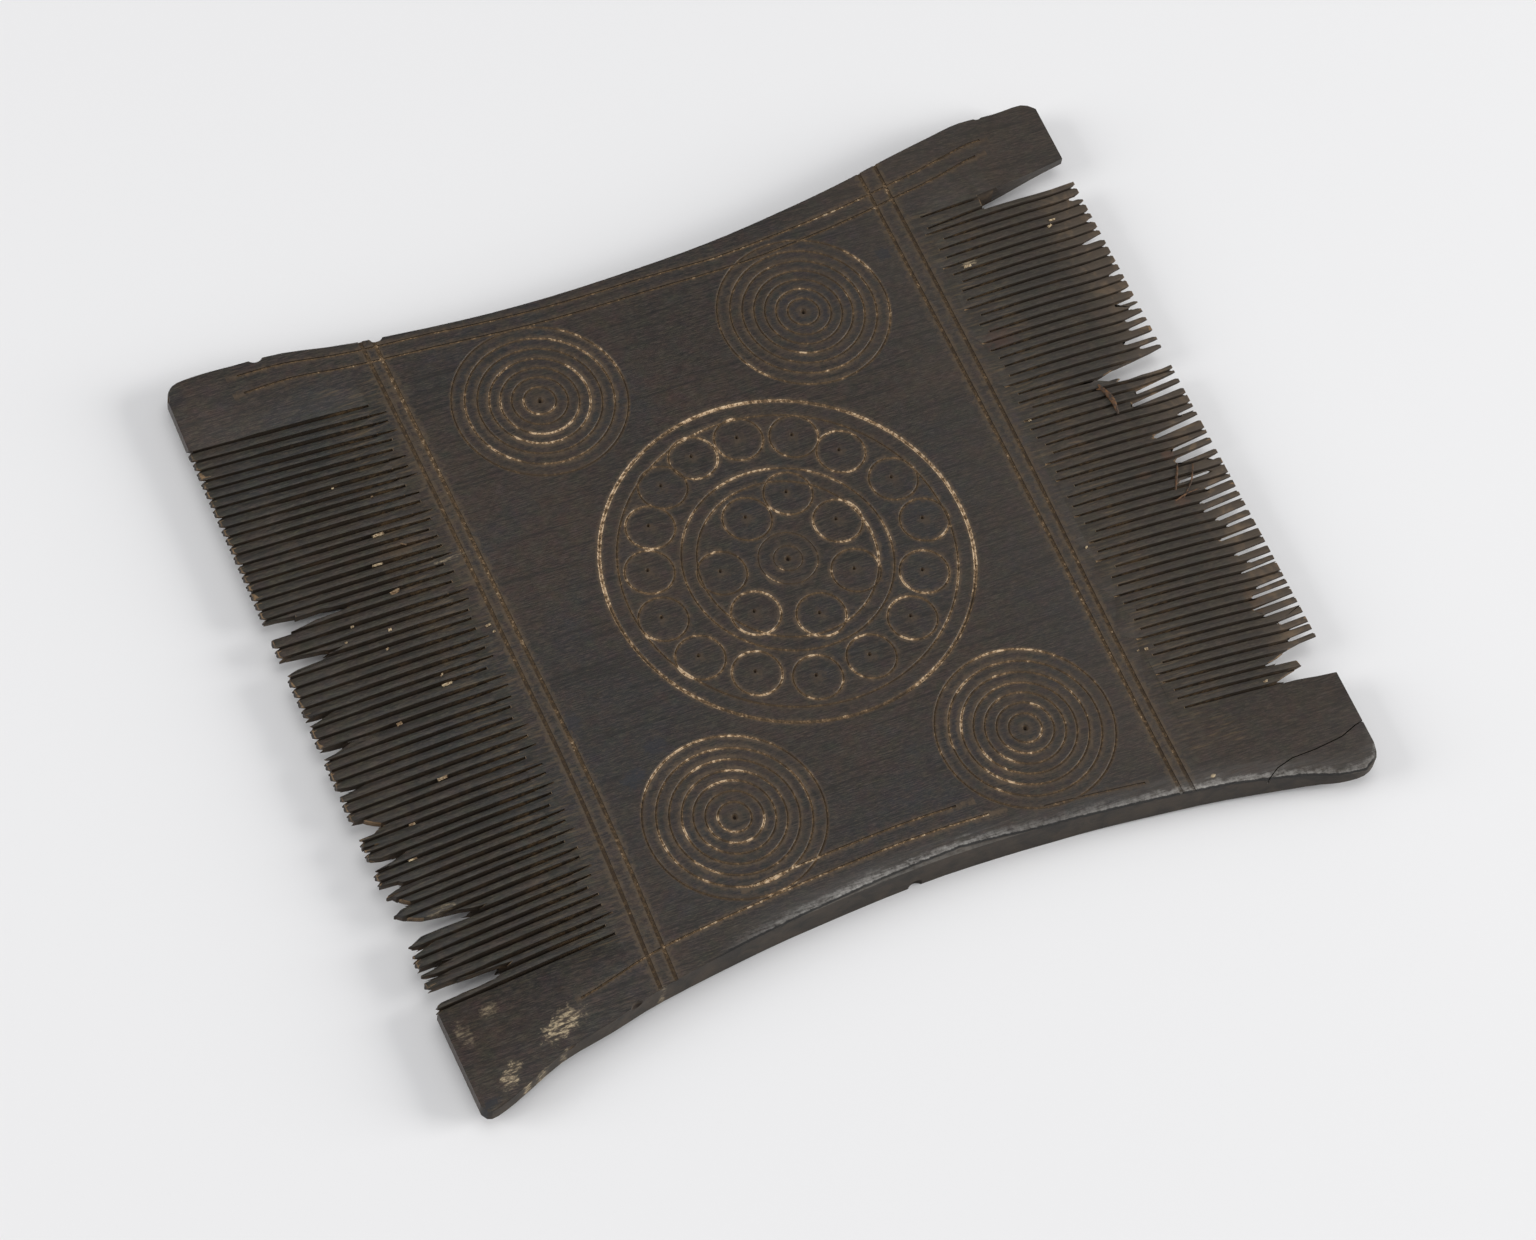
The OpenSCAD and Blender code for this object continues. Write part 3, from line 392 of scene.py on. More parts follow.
# Columns: x of the roots' middle, how far from it the scratches reach
roots = 0.0
for middle, far in ((-34.2, 5.2), (32.4, 4.4)):
    off = add(tree, "Math", {0: x, 1: middle}, operation="SUBTRACT")
    off = add(tree, "Math", {0: off}, operation="ABSOLUTE")
    near_roots = add(tree, "MapRange", {0: off, 1: far, 2: 0.5 * far})
    roots = add(tree, "Math", {0: near_roots, 1: roots}, operation="ADD")
scratched = add(tree, "MapRange", {0: saw_marks, 1: 0.53, 2: 0.68, 4: 0.5})
for share in (roots, not_under, add(tree, "Math", {0: y, 1: 0.0, 2: 35.5}, operation="COMPARE")):
    scratched = add(tree, "Math", {0: scratched, 1: share}, operation="MULTIPLY")
colour = add(tree, "Mix", {0: scratched, 6: colour, 7: linear("#64533c")}, out=2, data_type="RGBA")

# Handling has drawn brown grime out of the engraving and the pits, up to half a millimetre over the wood
# beside them. Columns of circles: centre x, y, radii, or none for a rosette, whose rings are evenly spaced
ROSETTE_STEP, ROSETTE_EDGE = 1.25, 9.5
FAR_OFF = 9.0
circles = [(0, 0, [r for cx, cy, r, _, _ in RINGS if cx == cy == 0])]
circles += [(*centre, None) for centre, _ in ROSETTES]
circles += [(cx, cy, [r]) for cx, cy, r, _, _ in RINGS if r == SMALL_RADIUS]
flat_place = add(tree, "VectorMath", {0: place, 1: (1.0, 1.0, 0.0)}, operation="MULTIPLY")
nearest = FAR_OFF
for cx, cy, radii in circles:
    out_from = add(tree, "VectorMath", {0: flat_place, 1: (cx, cy, 0.0)}, out=1, operation="DISTANCE")
    if radii is None:
        off = add(tree, "Math", {0: out_from, 1: ROSETTE_RADII[0]}, operation="SUBTRACT")
        off = add(tree, "Math", {0: off, 1: ROSETTE_STEP / 2}, operation="PINGPONG")
        past = add(tree, "MapRange", {0: out_from, 1: ROSETTE_EDGE, 2: ROSETTE_EDGE + 0.4, 4: 2.0})
        offs = [add(tree, "Math", {0: off, 1: past}, operation="ADD")]
    else:
        offs = [add(tree, "Math", {0: out_from, 1: r}, operation="SUBTRACT") for r in radii]
        offs = [add(tree, "Math", {0: off}, operation="ABSOLUTE") for off in offs]
    offs.append(add(tree, "Math", {0: out_from, 1: 0.6}, operation="MULTIPLY"))
    for off in offs:
        nearest = add(tree, "Math", {0: off, 1: nearest}, operation="MINIMUM")
by_cross = FAR_OFF
for xs, _ in CROSS_LINES:
    line = profile(tree, y, list(zip(CROSS_Y, xs)), -35.0, 35.0)
    off = add(tree, "Math", {0: x, 1: line}, operation="SUBTRACT")
    off = add(tree, "Math", {0: off}, operation="ABSOLUTE")
    by_cross = add(tree, "Math", {0: off, 1: by_cross}, operation="MINIMUM")
nearest = add(tree, "Math", {0: by_cross, 1: nearest}, operation="MINIMUM")
for edge, side, away, _ in EDGE_LINES:
    stations = np.linspace(away[0][0], away[-1][0], 14)
    line = list(zip(stations, across(edge, stations) + side * across(away, stations)))
    off = add(tree, "Math", {0: y, 1: profile(tree, x, line, -50.0, 50.0)}, operation="SUBTRACT")
    off = add(tree, "Math", {0: off}, operation="ABSOLUTE")
    middle, half = (stations[0] + stations[-1]) / 2, (stations[-1] - stations[0]) / 2
    beside = add(tree, "Math", {0: x, 1: middle, 2: half}, operation="COMPARE")
    past = add(tree, "MapRange", {0: beside, 3: 2.0, 4: 0.0})
    off = add(tree, "Math", {0: off, 1: past}, operation="ADD")
    nearest = add(tree, "Math", {0: off, 1: nearest}, operation="MINIMUM")
ragged_edge = add(tree, "Math", {0: crumbs, 1: -1.6, 2: nearest}, operation="MULTIPLY_ADD")
grime = add(tree, "MapRange", {0: ragged_edge, 1: -0.2, 2: -0.75, 4: 0.75}, interpolation_type="SMOOTHSTEP")
grime = add(tree, "Math", {0: grime, 1: level_face}, operation="MULTIPLY")
colour = add(tree, "Mix", {0: grime, 6: colour, 7: linear("#403427")}, out=2, data_type="RGBA")

# A broader and paler band of it lies between the lines across the board
band = add(tree, "Math", {0: crumbs, 1: -3.0, 2: by_cross}, operation="MULTIPLY_ADD")
band = add(tree, "MapRange", {0: band, 1: -0.6, 2: -1.5, 4: 0.7}, interpolation_type="SMOOTHSTEP")
band = add(tree, "Math", {0: band, 1: level_face}, operation="MULTIPLY")
colour = add(tree, "Mix", {0: band, 6: colour, 7: linear("#4d4030")}, out=2, data_type="RGBA")

# The saw cuts hold brown dust, more at the roots and where they run out, and are painted paler still to lift
# the shade inside them. The rounded arrises carry painted shade, and the blunt tips are dark
# Brown dust in the cuts, painted paler to lift their shade
saw_tint = add(tree, "MapRange", {0: stains, 1: 0.5, 2: 0.7})
saw_tint = add(tree, "Mix", {0: saw_tint, 6: linear("#54473a"), 7: linear("#846d53")}, out=2,
               data_type="RGBA")
colour = add(tree, "Mix", {0: sawn, 6: colour, 7: saw_tint}, out=2, data_type="RGBA")
# Painted shade on the rounded upper arrises of the teeth, widening the dark of each cut
arris_shade = add(tree, "MapRange", {0: up, 1: 0.97, 2: 0.75, 4: 0.5})
arris_shade = add(tree, "Math", {0: arris_shade, 1: rows}, operation="MULTIPLY")
colour = add(tree, "Mix", {0: arris_shade, 6: colour, 7: linear("#231d18")}, out=2, data_type="RGBA")
# Where the cuts run out: brown dust, painted paler as a shallow scratch would be lit
run_out = add(tree, "Math", {0: endways, 1: 0.4, 2: 0.17}, operation="COMPARE")
for share in (rows, add(tree, "MapRange", {0: depth, 1: 1.1, 2: 0.1}),
              add(tree, "MapRange", {0: crumbs, 1: 0.36, 2: 0.56})):
    run_out = add(tree, "Math", {0: run_out, 1: share}, operation="MULTIPLY")
colour = add(tree, "Mix", {0: run_out, 6: colour, 7: linear("#7d6549")}, out=2, data_type="RGBA")
in_roots = add(tree, "MapRange", {0: crumbs, 1: 0.44, 2: 0.6, 4: 0.8})
for share in (roots, sawn):
    in_roots = add(tree, "Math", {0: in_roots, 1: share}, operation="MULTIPLY")
colour = add(tree, "Mix", {0: in_roots, 6: colour, 7: linear("#8a7050")}, out=2, data_type="RGBA")
tips = add(tree, "MapRange", {0: endways, 1: 0.65, 2: 0.85, 4: 0.85})
tips = add(tree, "Math", {0: tips, 1: rows}, operation="MULTIPLY")
colour = add(tree, "Mix", {0: tips, 6: colour, 7: linear("#241e19")}, out=2, data_type="RGBA")

# Dust lies in the engraving in crumbs, more of it and paler where the tables say so, and a little is spilt
held = add(tree, "Attribute", out="Fac", attribute_name="dust")
engraved = add(tree, "MapRange", {0: depth, 1: 0.012, 2: 0.055}, interpolation_type="SMOOTHSTEP")
for share in (not_steep, off_rows):
    engraved = add(tree, "Math", {0: engraved, 1: share}, operation="MULTIPLY")
amount = held
for noise, middle, gain in ((crumbs, 0.5, 2.2), (specks, 0.54, 2.4)):
    off = add(tree, "Math", {0: noise, 1: middle}, operation="SUBTRACT")
    amount = add(tree, "Math", {0: off, 1: gain, 2: amount}, operation="MULTIPLY_ADD")
dust_colour = tree.nodes.new("ShaderNodeValToRGB")
tree.links.new(amount, dust_colour.inputs[0])
ramp = dust_colour.color_ramp
ramp.elements[0].position, ramp.elements[0].color = 0.0, linear("#473a2d")
ramp.elements[1].position, ramp.elements[1].color = 1.0, linear("#cfb798")
for position, tint in ((0.2, "#534432"), (0.45, "#614f3a"), (0.65, "#755f47"), (0.85, "#9c8263")):
    ramp.elements.new(position).color = linear(tint)
spilt = add(tree, "Math", {0: nearest, 1: -1.7, 2: amount}, operation="MULTIPLY_ADD")
spilt = add(tree, "MapRange", {0: spilt, 1: -0.2, 2: 0.4, 4: 0.55})
for share in (add(tree, "MapRange", {0: nearest, 1: 0.6, 2: 0.3}), level_face):
    spilt = add(tree, "Math", {0: spilt, 1: share}, operation="MULTIPLY")
colour = add(tree, "Mix", {0: spilt, 6: colour, 7: linear("#564736")}, out=2, data_type="RGBA")
colour = add(tree, "Mix", {0: engraved, 6: colour, 7: dust_colour.outputs[0]}, out=2, data_type="RGBA")

# The pits, deeper than any line, are coloured dark brown
pit = add(tree, "MapRange", {0: depth, 1: 0.22, 2: 0.45})
for share in (not_steep, off_rows):
    pit = add(tree, "Math", {0: pit, 1: share}, operation="MULTIPLY")
colour = add(tree, "Mix", {0: pit, 6: colour, 7: linear("#241b15")}, out=2, data_type="RGBA")

# Worn strip along the near edge, brushed along the grain: rubbed paler, with a painted sheen over it
off_near = add(tree, "Math", {0: y, 1: profile(tree, x, NEAR_EDGE, -50.0, -35.0)}, operation="SUBTRACT")
brushed = add(tree, "VectorMath", {0: place, 1: (0.25, 2.6, 2.6)}, operation="MULTIPLY")
brush_marks = add(tree, "TexNoise", {"Vector": brushed, "Scale": 1.0, "Detail": 6.0, "Roughness": 0.7})
# Columns: x, how much of the near strip is rubbed, and painted with sheen and highlight, there
RUBBED_AND_LIT = [(-24, 0.0), (-15, 0.75), (-8, 1.0), (4, 0.9), (9, 0.55), (14, 0.45), (22, 0.7), (28, 1.0),
          (36, 0.9), (40, 0.7), (48, 0.6)]
rubbed_and_lit = profile(tree, x, RUBBED_AND_LIT, 0.0, 1.0)
rising = add(tree, "MapRange", {0: up, 1: 0.2, 2: 0.6})
rubbed_and_lit = add(tree, "Math", {0: rubbed_and_lit, 1: rising}, operation="MULTIPLY")
bloom_and_sheen = add(tree, "MapRange", {0: off_near, 1: 3.2, 2: 0.9, 4: 0.6}, interpolation_type="SMOOTHSTEP")
for share in (add(tree, "MapRange", {0: brush_marks, 1: 0.38, 2: 0.6, 3: 0.35}), rubbed_and_lit):
    bloom_and_sheen = add(tree, "Math", {0: bloom_and_sheen, 1: share}, operation="MULTIPLY")
colour = add(tree, "Mix", {0: bloom_and_sheen, 6: colour, 7: linear("#54514e")}, out=2, data_type="RGBA")

# A painted silver highlight lies on the rubbed strip and ends at a painted shadow line a little inside the
# arris. Outside the line, and down the side, the wood is a dull brown. Columns: x, how far the line lies
# inside the arris
SHADOW_LINE_INSET = [(-25, 0.15), (-13, 0.2), (-7, 0.42), (0, 0.55), (3, 0.75), (6, 0.5), (10, 0.2), (15, 0.1), (48, 0.1)]
past_line = add(tree, "Math", {0: off_near, 1: profile(tree, x, SHADOW_LINE_INSET, 0.0, 1.0)}, operation="SUBTRACT")
wander = add(tree, "Math", {0: crumbs, 1: 0.5}, operation="SUBTRACT")
past_line = add(tree, "Math", {0: wander, 1: 0.35, 2: past_line}, operation="MULTIPLY_ADD")
ragged_rim = add(tree, "Math", {0: brush_marks, 1: crumbs}, operation="ADD")
ragged_rim = add(tree, "Math", {0: ragged_rim, 1: -3.4, 2: past_line}, operation="MULTIPLY_ADD")
ragged_rim = add(tree, "Math", {0: specks, 1: -1.6, 2: ragged_rim}, operation="MULTIPLY_ADD")
rim_highlight = add(tree, "MapRange", {0: ragged_rim, 1: -3.3, 2: -4.7, 4: 0.85})
for share in (add(tree, "MapRange", {0: past_line, 1: 1.7, 2: 0.2}), rubbed_and_lit):
    rim_highlight = add(tree, "Math", {0: rim_highlight, 1: share}, operation="MULTIPLY")
colour = add(tree, "Mix", {0: rim_highlight, 6: colour, 7: linear("#a3a09b")}, out=2, data_type="RGBA")
beside = add(tree, "Math", {0: add(tree, "MapRange", {0: off_near, 1: 1.2, 2: 0.8}),
                            1: add(tree, "MapRange", {0: up, 1: 0.5, 2: 0.3})}, operation="MULTIPLY")
outside = add(tree, "Math", {0: add(tree, "MapRange", {0: past_line, 1: -0.04, 2: -0.12}), 1: beside},
              operation="MAXIMUM")
side_tint = add(tree, "MapRange", {0: stains, 1: 0.35, 2: 0.65})
side_tint = add(tree, "Mix", {0: side_tint, 6: linear("#25211c"), 7: linear("#3d342a")}, out=2,
                data_type="RGBA")
dulled = add(tree, "Math", {0: outside, 1: 0.75}, operation="MULTIPLY")
colour = add(tree, "Mix", {0: dulled, 6: colour, 7: side_tint}, out=2, data_type="RGBA")
# The line itself: a thin dark line of painted shadow along the foot of the highlit strip
shadow_line = add(tree, "Math", {0: past_line}, operation="ABSOLUTE")
shadow_line = add(tree, "MapRange", {0: shadow_line, 1: 0.17, 2: 0.08, 4: 0.92})
for share in (profile(tree, x, [(-26, 0.0), (-23, 1.0), (47, 1.0), (48, 0.0)], 0.0, 1.0),
              add(tree, "MapRange", {0: depth, 1: 0.3, 2: 0.1})):
    shadow_line = add(tree, "Math", {0: shadow_line, 1: share}, operation="MULTIPLY")
colour = add(tree, "Mix", {0: shadow_line, 6: colour, 7: linear("#0b0908")}, out=2, data_type="RGBA")

# Bare pale wood, in torn fibres, where the dark skin has flaked off, mostly from the near left guard
torn = add(tree, "Mapping", {"Vector": place, "Rotation": (0, 0, math.radians(-55)),
                             "Scale": (0.9, 4.0, 4.0)})
torn = add(tree, "TexNoise", {"Vector": torn, "Scale": 1.0, "Detail": 4.0, "Roughness": 0.7})
pale_tint = add(tree, "MapRange", {0: torn, 1: 0.45, 2: 0.66})
pale_tint = add(tree, "Mix", {0: pale_tint, 6: linear("#5c4f3f"), 7: linear("#cbb896")}, out=2,
                data_type="RGBA")
# Columns: centre, half-sizes, turn in degrees, strength
FLAKES = (((-41.0, -41.0), (2.3, 1.1), 24, 1.0), ((-47.6, -44.2), (1.5, 0.75), 50, 1.0),
          ((-47.2, -37.1), (1.0, 0.6), 20, 0.4), ((-50.3, -38.6), (0.7, 1.3), 10, 0.35),
          ((-47.6, -25.2), (1.6, 0.4), 6, 0.35), ((-32.6, 11.8), (1.7, 0.2), 2, 0.6),
          ((33.0, 27.8), (1.1, 0.35), 3, 0.45), ((30.4, -38.3), (0.35, 0.2), 0, 1.0),
          ((-46.5, -45.75), (0.6, 0.16), 25, 0.6), ((-44.7, -45.0), (0.8, 0.14), 25, 0.5),
          ((-42.1, -43.85), (0.5, 0.14), 20, 0.5), ((-30.6, -40.95), (0.4, 0.15), 10, 0.6))
fibrous = add(tree, "MapRange", {0: torn, 1: 0.36, 2: 0.56})
for centre, halves, turn, strength in FLAKES:
    flaked = spot(tree, place, centre, halves, turn, crumbs)
    for share in (strength, fibrous, not_under):
        flaked = add(tree, "Math", {0: flaked, 1: share}, operation="MULTIPLY")
    colour = add(tree, "Mix", {0: flaked, 6: colour, 7: pale_tint}, out=2, data_type="RGBA")

# Blue-black and reddish stains, each where the real one has it.
# Columns: centre, half-sizes, turn in degrees, colour, strength
SPOTS = (((-50.6, -46.3), (1.3, 0.6), 25, "#191c22", 0.8), ((-24.5, -18.6), (1.6, 0.9), 20, "#20242c", 0.6),
         ((-28, -10.5), (1.0, 1.2), 0, "#20242c", 0.45), ((-21.2, -15.9), (1.4, 1.0), 10, "#20242c", 0.45),
         ((24.6, 31.8), (1.0, 0.9), 0, "#20242c", 0.5), ((32.0, 17.8), (2.2, 1.3), 5, "#4b3329", 0.4),
         ((43.0, -1.3), (0.9, 0.45), 0, "#523a2d", 0.5), ((39.3, -3.0), (1.0, 0.5), 0, "#4f3b2b", 0.5),
         ((41.9, -7.0), (1.0, 0.7), 0, "#523a2c", 0.45), ((44.0, -20.5), (0.9, 2.0), 0, "#54402e", 0.45),
         ((-36.5, 14.6), (2.4, 1.0), 3, "#56432f", 0.4))
for centre, halves, turn, tint, strength in SPOTS:
    stained = spot(tree, place, centre, halves, turn, crumbs)
    for share in (strength, not_under):
        stained = add(tree, "Math", {0: stained, 1: share}, operation="MULTIPLY")
    colour = add(tree, "Mix", {0: stained, 6: colour, 7: linear(tint)}, out=2, data_type="RGBA")

# Satin from handling, brightest where it is rubbed, and dull in the engraving, the cuts and down the side
gloss = add(tree, "MapRange", {0: brush_marks, 1: 0.3, 2: 0.7, 3: 0.36, 4: 0.52})
# Columns: where, roughness
FINISHES = ((rim_highlight, 0.36), (outside, 0.7), (engraved, 0.9), (sawn, 0.8))
for where, roughness in FINISHES:
    gloss = add(tree, "Mix", {0: where, 2: gloss, 3: roughness}, data_type="FLOAT")
height = add(tree, "Math", {0: fibres, 1: 0.6, 2: brush_marks}, operation="MULTIPLY_ADD")
height = add(tree, "Math", {0: engraved, 1: specks, 2: height}, operation="MULTIPLY_ADD")
relief = add(tree, "Bump", {"Strength": 0.35, "Distance": 0.00004, "Height": height})
surface = tree.nodes.new("ShaderNodeBsdfPrincipled")
tree.links.new(colour, surface.inputs["Base Color"])
tree.links.new(gloss, surface.inputs["Roughness"])
tree.links.new(relief, surface.inputs["Normal"])
surface.inputs["Specular IOR Level"].default_value = 0.36
output = tree.nodes.new("ShaderNodeOutputMaterial")
tree.links.new(surface.outputs[0], output.inputs["Surface"])
comb.data.materials.append(wood)
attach(comb, "root")
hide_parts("comb")

# Lint: crumbs and short flat slivers of cream and brown plant fibre that the saw cuts have caught.
# They lie loose in the mouths of the cuts, turned along the teeth, and stand a little above them.
# Columns: x, y, z, length, width, turn in degrees
TUFTS = [(-38.4, 17.0, 3.66, 1.4, 0.38, 4), (-39.7, 13.7, 3.6, 1.3, 0.34, -3),
         (-39.2, 10.05, 3.62, 1.2, 0.5, 10), (-36.4, 15.0, 3.82, 0.7, 0.18, -32),
         (-44.6, 7.8, 3.36, 0.4, 0.3, 0), (-41.2, 6.1, 3.54, 0.42, 0.36, 0),
         (-45.8, 6.3, 3.28, 0.35, 0.25, 0), (-42.2, 4.1, 3.48, 0.4, 0.25, 20),
         (-38.2, -0.7, 3.7, 0.5, 0.22, 40), (-38.1, -1.9, 3.7, 1.3, 0.4, 5),
         (-44.1, -4.4, 3.38, 0.7, 0.4, 12), (-37.4, 21.5, 3.76, 0.3, 0.2, 0),
         (-40.8, 23.9, 3.56, 0.3, 0.2, 0), (-31.8, 3.0, 3.97, 0.7, 0.3, 10),
         (-31.5, 2.1, 3.98, 0.35, 0.3, 0), (-42.3, -11.7, 3.46, 1.2, 0.36, 5),
         (-48.2, -19.05, 3.12, 1.1, 0.28, 4), (-46.9, -15.4, 3.2, 0.8, 0.3, 0),
         (43.6, 29.8, 3.1, 0.6, 0.35, 20), (44.2, 30.5, 3.0, 0.9, 0.3, 5), (32.6, 27.4, 3.96, 1.0, 0.35, 3),
         (30.7, 7.0, 4.0, 0.35, 0.25, 0), (29.7, -9.3, 4.0, 0.4, 0.25, 30),
         (30.4, -22.5, 3.98, 0.45, 0.35, 0), (29.5, -22.4, 3.98, 0.3, 0.22, 0),
         (40.6, -29.9, 3.3, 0.6, 0.3, 8)]
bpy.ops.object.select_all(action="DESELECT")
bpy.ops.mesh.primitive_cylinder_add(vertices=7, radius=0.5 * MM, depth=1.0 * MM,
                                    rotation=(0, math.radians(90), 0))
tuft = bpy.context.object
tuft.name = tuft.data.name = "lint_tuft"
bpy.ops.object.transform_apply(location=True, rotation=True, scale=True)
bpy.ops.object.mode_set(mode="EDIT")
bpy.ops.mesh.select_all(action="SELECT")
bpy.ops.mesh.subdivide(number_cuts=2)
bpy.ops.transform.vertex_random(offset=0.2 * MM, uniform=0.6, normal=0.4, seed=7)
bpy.ops.object.mode_set(mode="OBJECT")
tufts = []
for i, (tx, ty, tz, length, width, turn) in enumerate(TUFTS):
    bit = tuft.copy()
    bit.data = tuft.data.copy()
    bit.name = bit.data.name = "lint_%02d" % i
    bpy.context.scene.collection.objects.link(bit)
    moved = Matrix.Translation(Vector((tx, ty, tz)) * MM)
    turned = moved @ Matrix.Rotation(math.radians(turn), 4, "Z") @ Matrix.Rotation(i * 1.9, 4, "X")
    bit.data.transform(turned @ Matrix.Diagonal((0.75 * length, 0.7 * width, 0.6 * width, 1.0)))
    tufts.append(bit)
bpy.data.objects.remove(tuft)
bpy.ops.object.select_all(action="DESELECT")
for bit in tufts:
    bit.select_set(True)
bpy.context.view_layer.objects.active = tufts[0]
bpy.ops.object.join()
lint = bpy.context.object
lint.name = lint.data.name = "lint"

# Raw plant fibre, matted: dull and soft to the eye, cream with brown threads and a few darker clumps
fluff = bpy.data.materials.new("plant fibre lint")
fluff.use_nodes = True
tree = fluff.node_tree
tree.nodes.clear()
coordinates = tree.nodes.new("ShaderNodeTexCoord")
place = add(tree, "VectorMath", {0: coordinates.outputs["Object"], "Scale": 1000.0}, operation="SCALE")
clumps = add(tree, "TexNoise", {"Vector": place, "Scale": 0.35, "Detail": 1.0})
fuzz = add(tree, "TexNoise", {"Vector": place, "Scale": 5.0, "Detail": 3.0, "Roughness": 0.7})
pale = add(tree, "MapRange", {0: fuzz, 1: 0.4, 2: 0.6})
pale = add(tree, "Mix", {0: pale, 6: linear("#6f5740"), 7: linear("#c9b795")}, out=2, data_type="RGBA")
browner = add(tree, "MapRange", {0: clumps, 1: 0.56, 2: 0.62, 4: 0.75})
lint_colour = add(tree, "Mix", {0: browner, 6: pale, 7: linear("#6b5238")}, out=2, data_type="RGBA")
surface = tree.nodes.new("ShaderNodeBsdfPrincipled")
tree.links.new(lint_colour, surface.inputs["Base Color"])
surface.inputs["Roughness"].default_value = 0.9
tree.links.new(add(tree, "Bump", {"Strength": 0.5, "Distance": 0.00005, "Height": fuzz}),
               surface.inputs["Normal"])
output = tree.nodes.new("ShaderNodeOutputMaterial")
tree.links.new(surface.outputs[0], output.inputs["Surface"])
lint.data.materials.clear()
lint.data.materials.append(fluff)
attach(lint, "root")

# Strands: red-brown plant fibres that have wound themselves about the finer teeth, one of them as broad
# as a ribbon. Each is drawn as a curve over the teeth and made a mesh.
# Columns: half its thickness, route
STRANDS = [(0.27, [(39.7, 9.0, 3.35), (40.0, 8.0, 3.5), (40.35, 6.9, 3.42), (40.3, 6.0, 3.5),
                   (40.2, 5.0, 3.3)]),
           (0.13, [(39.3, 8.6, 3.3), (39.8, 8.45, 3.5), (40.2, 7.9, 3.46)]),
           (0.11, [(43.6, -2.6, 3.0), (43.2, -3.4, 3.16), (42.6, -4.4, 3.12), (42.1, -5.4, 3.2),
                   (41.6, -6.2, 3.1)]),
           (0.08, [(45.2, -3.1, 2.9), (44.7, -4.1, 3.06), (44.0, -5.2, 3.0), (43.2, -6.0, 3.14),
                   (42.2, -6.9, 3.1)]),
           (0.08, [(44.7, -6.2, 3.0), (43.6, -6.3, 3.14), (42.4, -6.5, 3.2), (41.3, -6.9, 3.22)])]
# How thick a fibre is along its route
SWELLS = (0.5, 1.0, 1.15, 0.8, 0.45)
made = []
for i, (half, route) in enumerate(STRANDS):
    drawn = bpy.data.curves.new("strand_%d" % i, "CURVE")
    drawn.dimensions, drawn.resolution_u, drawn.bevel_depth, drawn.bevel_resolution = "3D", 6, half * MM, 2
    drawn.use_fill_caps = True
    line = drawn.splines.new("NURBS")
    line.points.add(len(route) - 1)
    for point, at, swell in zip(line.points, route, SWELLS):
        point.co = (*(v * MM for v in at), 1.0)
        point.radius = swell
    line.use_endpoint_u, line.order_u = True, 3
    strand = bpy.data.objects.new("strand_%d" % i, drawn)
    bpy.context.scene.collection.objects.link(strand)
    made.append(strand)
bpy.ops.object.select_all(action="DESELECT")
for strand in made:
    strand.select_set(True)
bpy.context.view_layer.objects.active = made[0]
bpy.ops.object.convert(target="MESH")
bpy.ops.object.join()
strand = bpy.context.object
strand.name = strand.data.name = "strands"

# Bast fibre, twisted and dry: a dull red-brown with paler threads along it
bast = bpy.data.materials.new("red-brown plant fibre")
bast.use_nodes = True
tree = bast.node_tree
tree.nodes.clear()
coordinates = tree.nodes.new("ShaderNodeTexCoord")
place = add(tree, "VectorMath", {0: coordinates.outputs["Object"], "Scale": 1000.0}, operation="SCALE")
threads = add(tree, "TexNoise", {"Vector": place, "Scale": 2.2, "Detail": 3.0, "Roughness": 0.6})
paler = add(tree, "MapRange", {0: threads, 1: 0.38, 2: 0.62})
thread_colour = add(tree, "Mix", {0: paler, 6: linear("#2d1f13"), 7: linear("#664526")}, out=2,
                    data_type="RGBA")
surface = tree.nodes.new("ShaderNodeBsdfPrincipled")
tree.links.new(thread_colour, surface.inputs["Base Color"])
surface.inputs["Roughness"].default_value = 0.7
tree.links.new(add(tree, "Bump", {"Strength": 0.5, "Distance": 0.00005, "Height": threads}),
               surface.inputs["Normal"])
output = tree.nodes.new("ShaderNodeOutputMaterial")
tree.links.new(surface.outputs[0], output.inputs["Surface"])
strand.data.materials.clear()
strand.data.materials.append(bast)
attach(strand, "root")

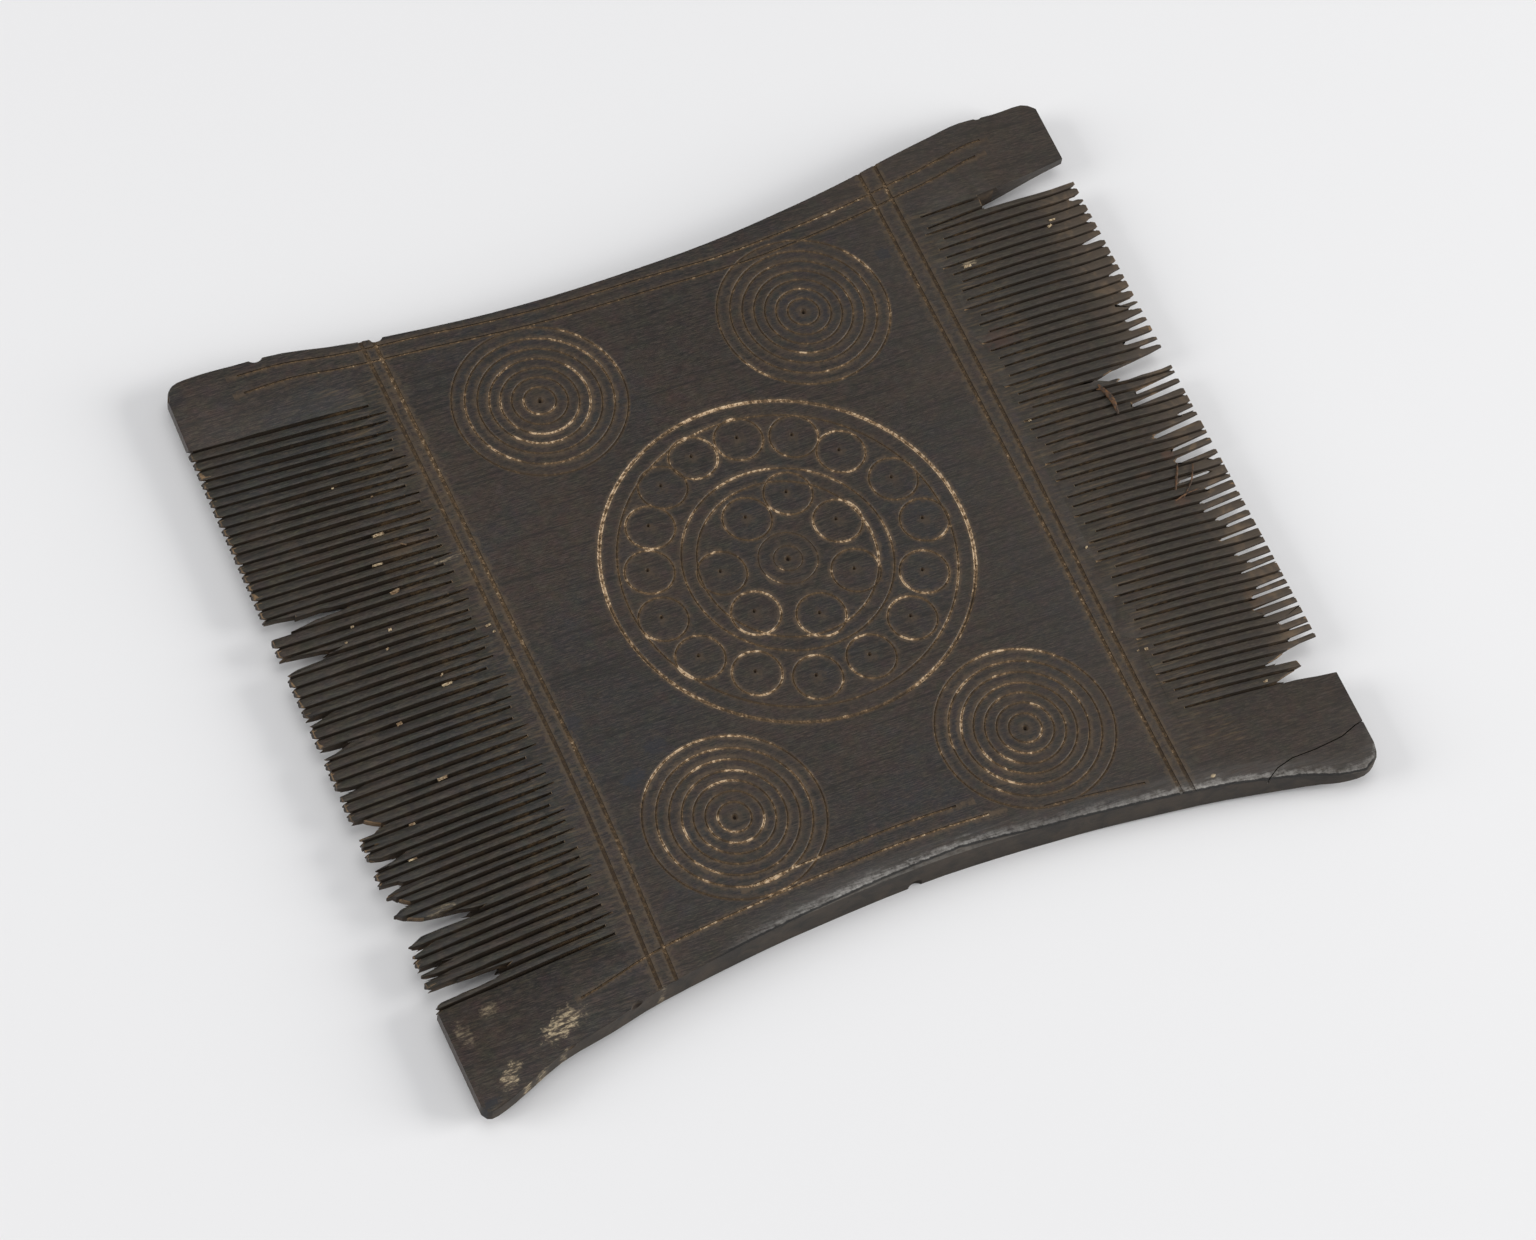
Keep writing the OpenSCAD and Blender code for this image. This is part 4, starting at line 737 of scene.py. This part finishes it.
# The table: a sheet of matt white paper that runs past every edge of the picture. Uncoated, it gives
# a soft shadow and no shine.
bpy.ops.object.select_all(action="DESELECT")
bpy.ops.mesh.primitive_grid_add(x_subdivisions=8, y_subdivisions=8, size=6.0, location=(0, 0, 0))
table = bpy.context.object
table.name = table.data.name = "table"
paper = bpy.data.materials.new("matt white paper")
paper.use_nodes = True
sheet = paper.node_tree.nodes["Principled BSDF"]
sheet.inputs["Base Color"].default_value = linear("#e9e9ea")
sheet.inputs["Roughness"].default_value = 0.9
sheet.inputs["Specular IOR Level"].default_value = 0.2
table.data.materials.append(paper)

# The light: a soft box low on the right, a weaker one on the left and one overhead, in a pale room.
# Their power is in watts.
world = bpy.data.worlds.new("pale room")
world.use_nodes = True
world.node_tree.nodes["Background"].inputs["Color"].default_value = linear("#f6f8fc")
world.node_tree.nodes["Background"].inputs["Strength"].default_value = 0.36
bpy.context.scene.world = world
# Columns: name, place, size, power
BOXES = (("right soft box", (0.85, -0.38, 0.34), 0.5, 9.2),
         ("left soft box", (-0.8, 0.15, 0.36), 0.5, 4.4),
         ("top soft box", (0.1, 0.1, 1.2), 0.8, 3.4))
for name, away, size, power in BOXES:
    box_light = bpy.data.lights.new(name, "AREA")
    box_light.shape, box_light.size, box_light.energy = "SQUARE", size, power
    box_light.color = (1.0, 0.99, 0.975)
    soft_box = bpy.data.objects.new(name, box_light)
    soft_box.location = away
    soft_box.rotation_mode = "QUATERNION"
    soft_box.rotation_quaternion = (-soft_box.location).to_track_quat("-Z", "Y")
    bpy.context.scene.collection.objects.link(soft_box)

# The camera: the photograph's own angle, found by fitting the engraved circles.
camera_data = bpy.data.cameras.new("camera")
camera_data.lens, camera_data.sensor_width = 110.16, 36.0
camera = bpy.data.objects.new("camera", camera_data)
# Rows: which way its right, its top and its back look
TURN = ((0.91791, -0.38721, 0.08668), (0.29147, 0.80620, 0.51486), (-0.26924, -0.44733, 0.85288))
turned = Matrix(TURN).transposed().to_4x4()
camera.matrix_world = Matrix.Translation((-0.13360, -0.22008, 0.41191)) @ turned
bpy.context.scene.collection.objects.link(camera)
bpy.context.scene.camera = camera
bpy.context.scene.view_settings.view_transform = "Standard"
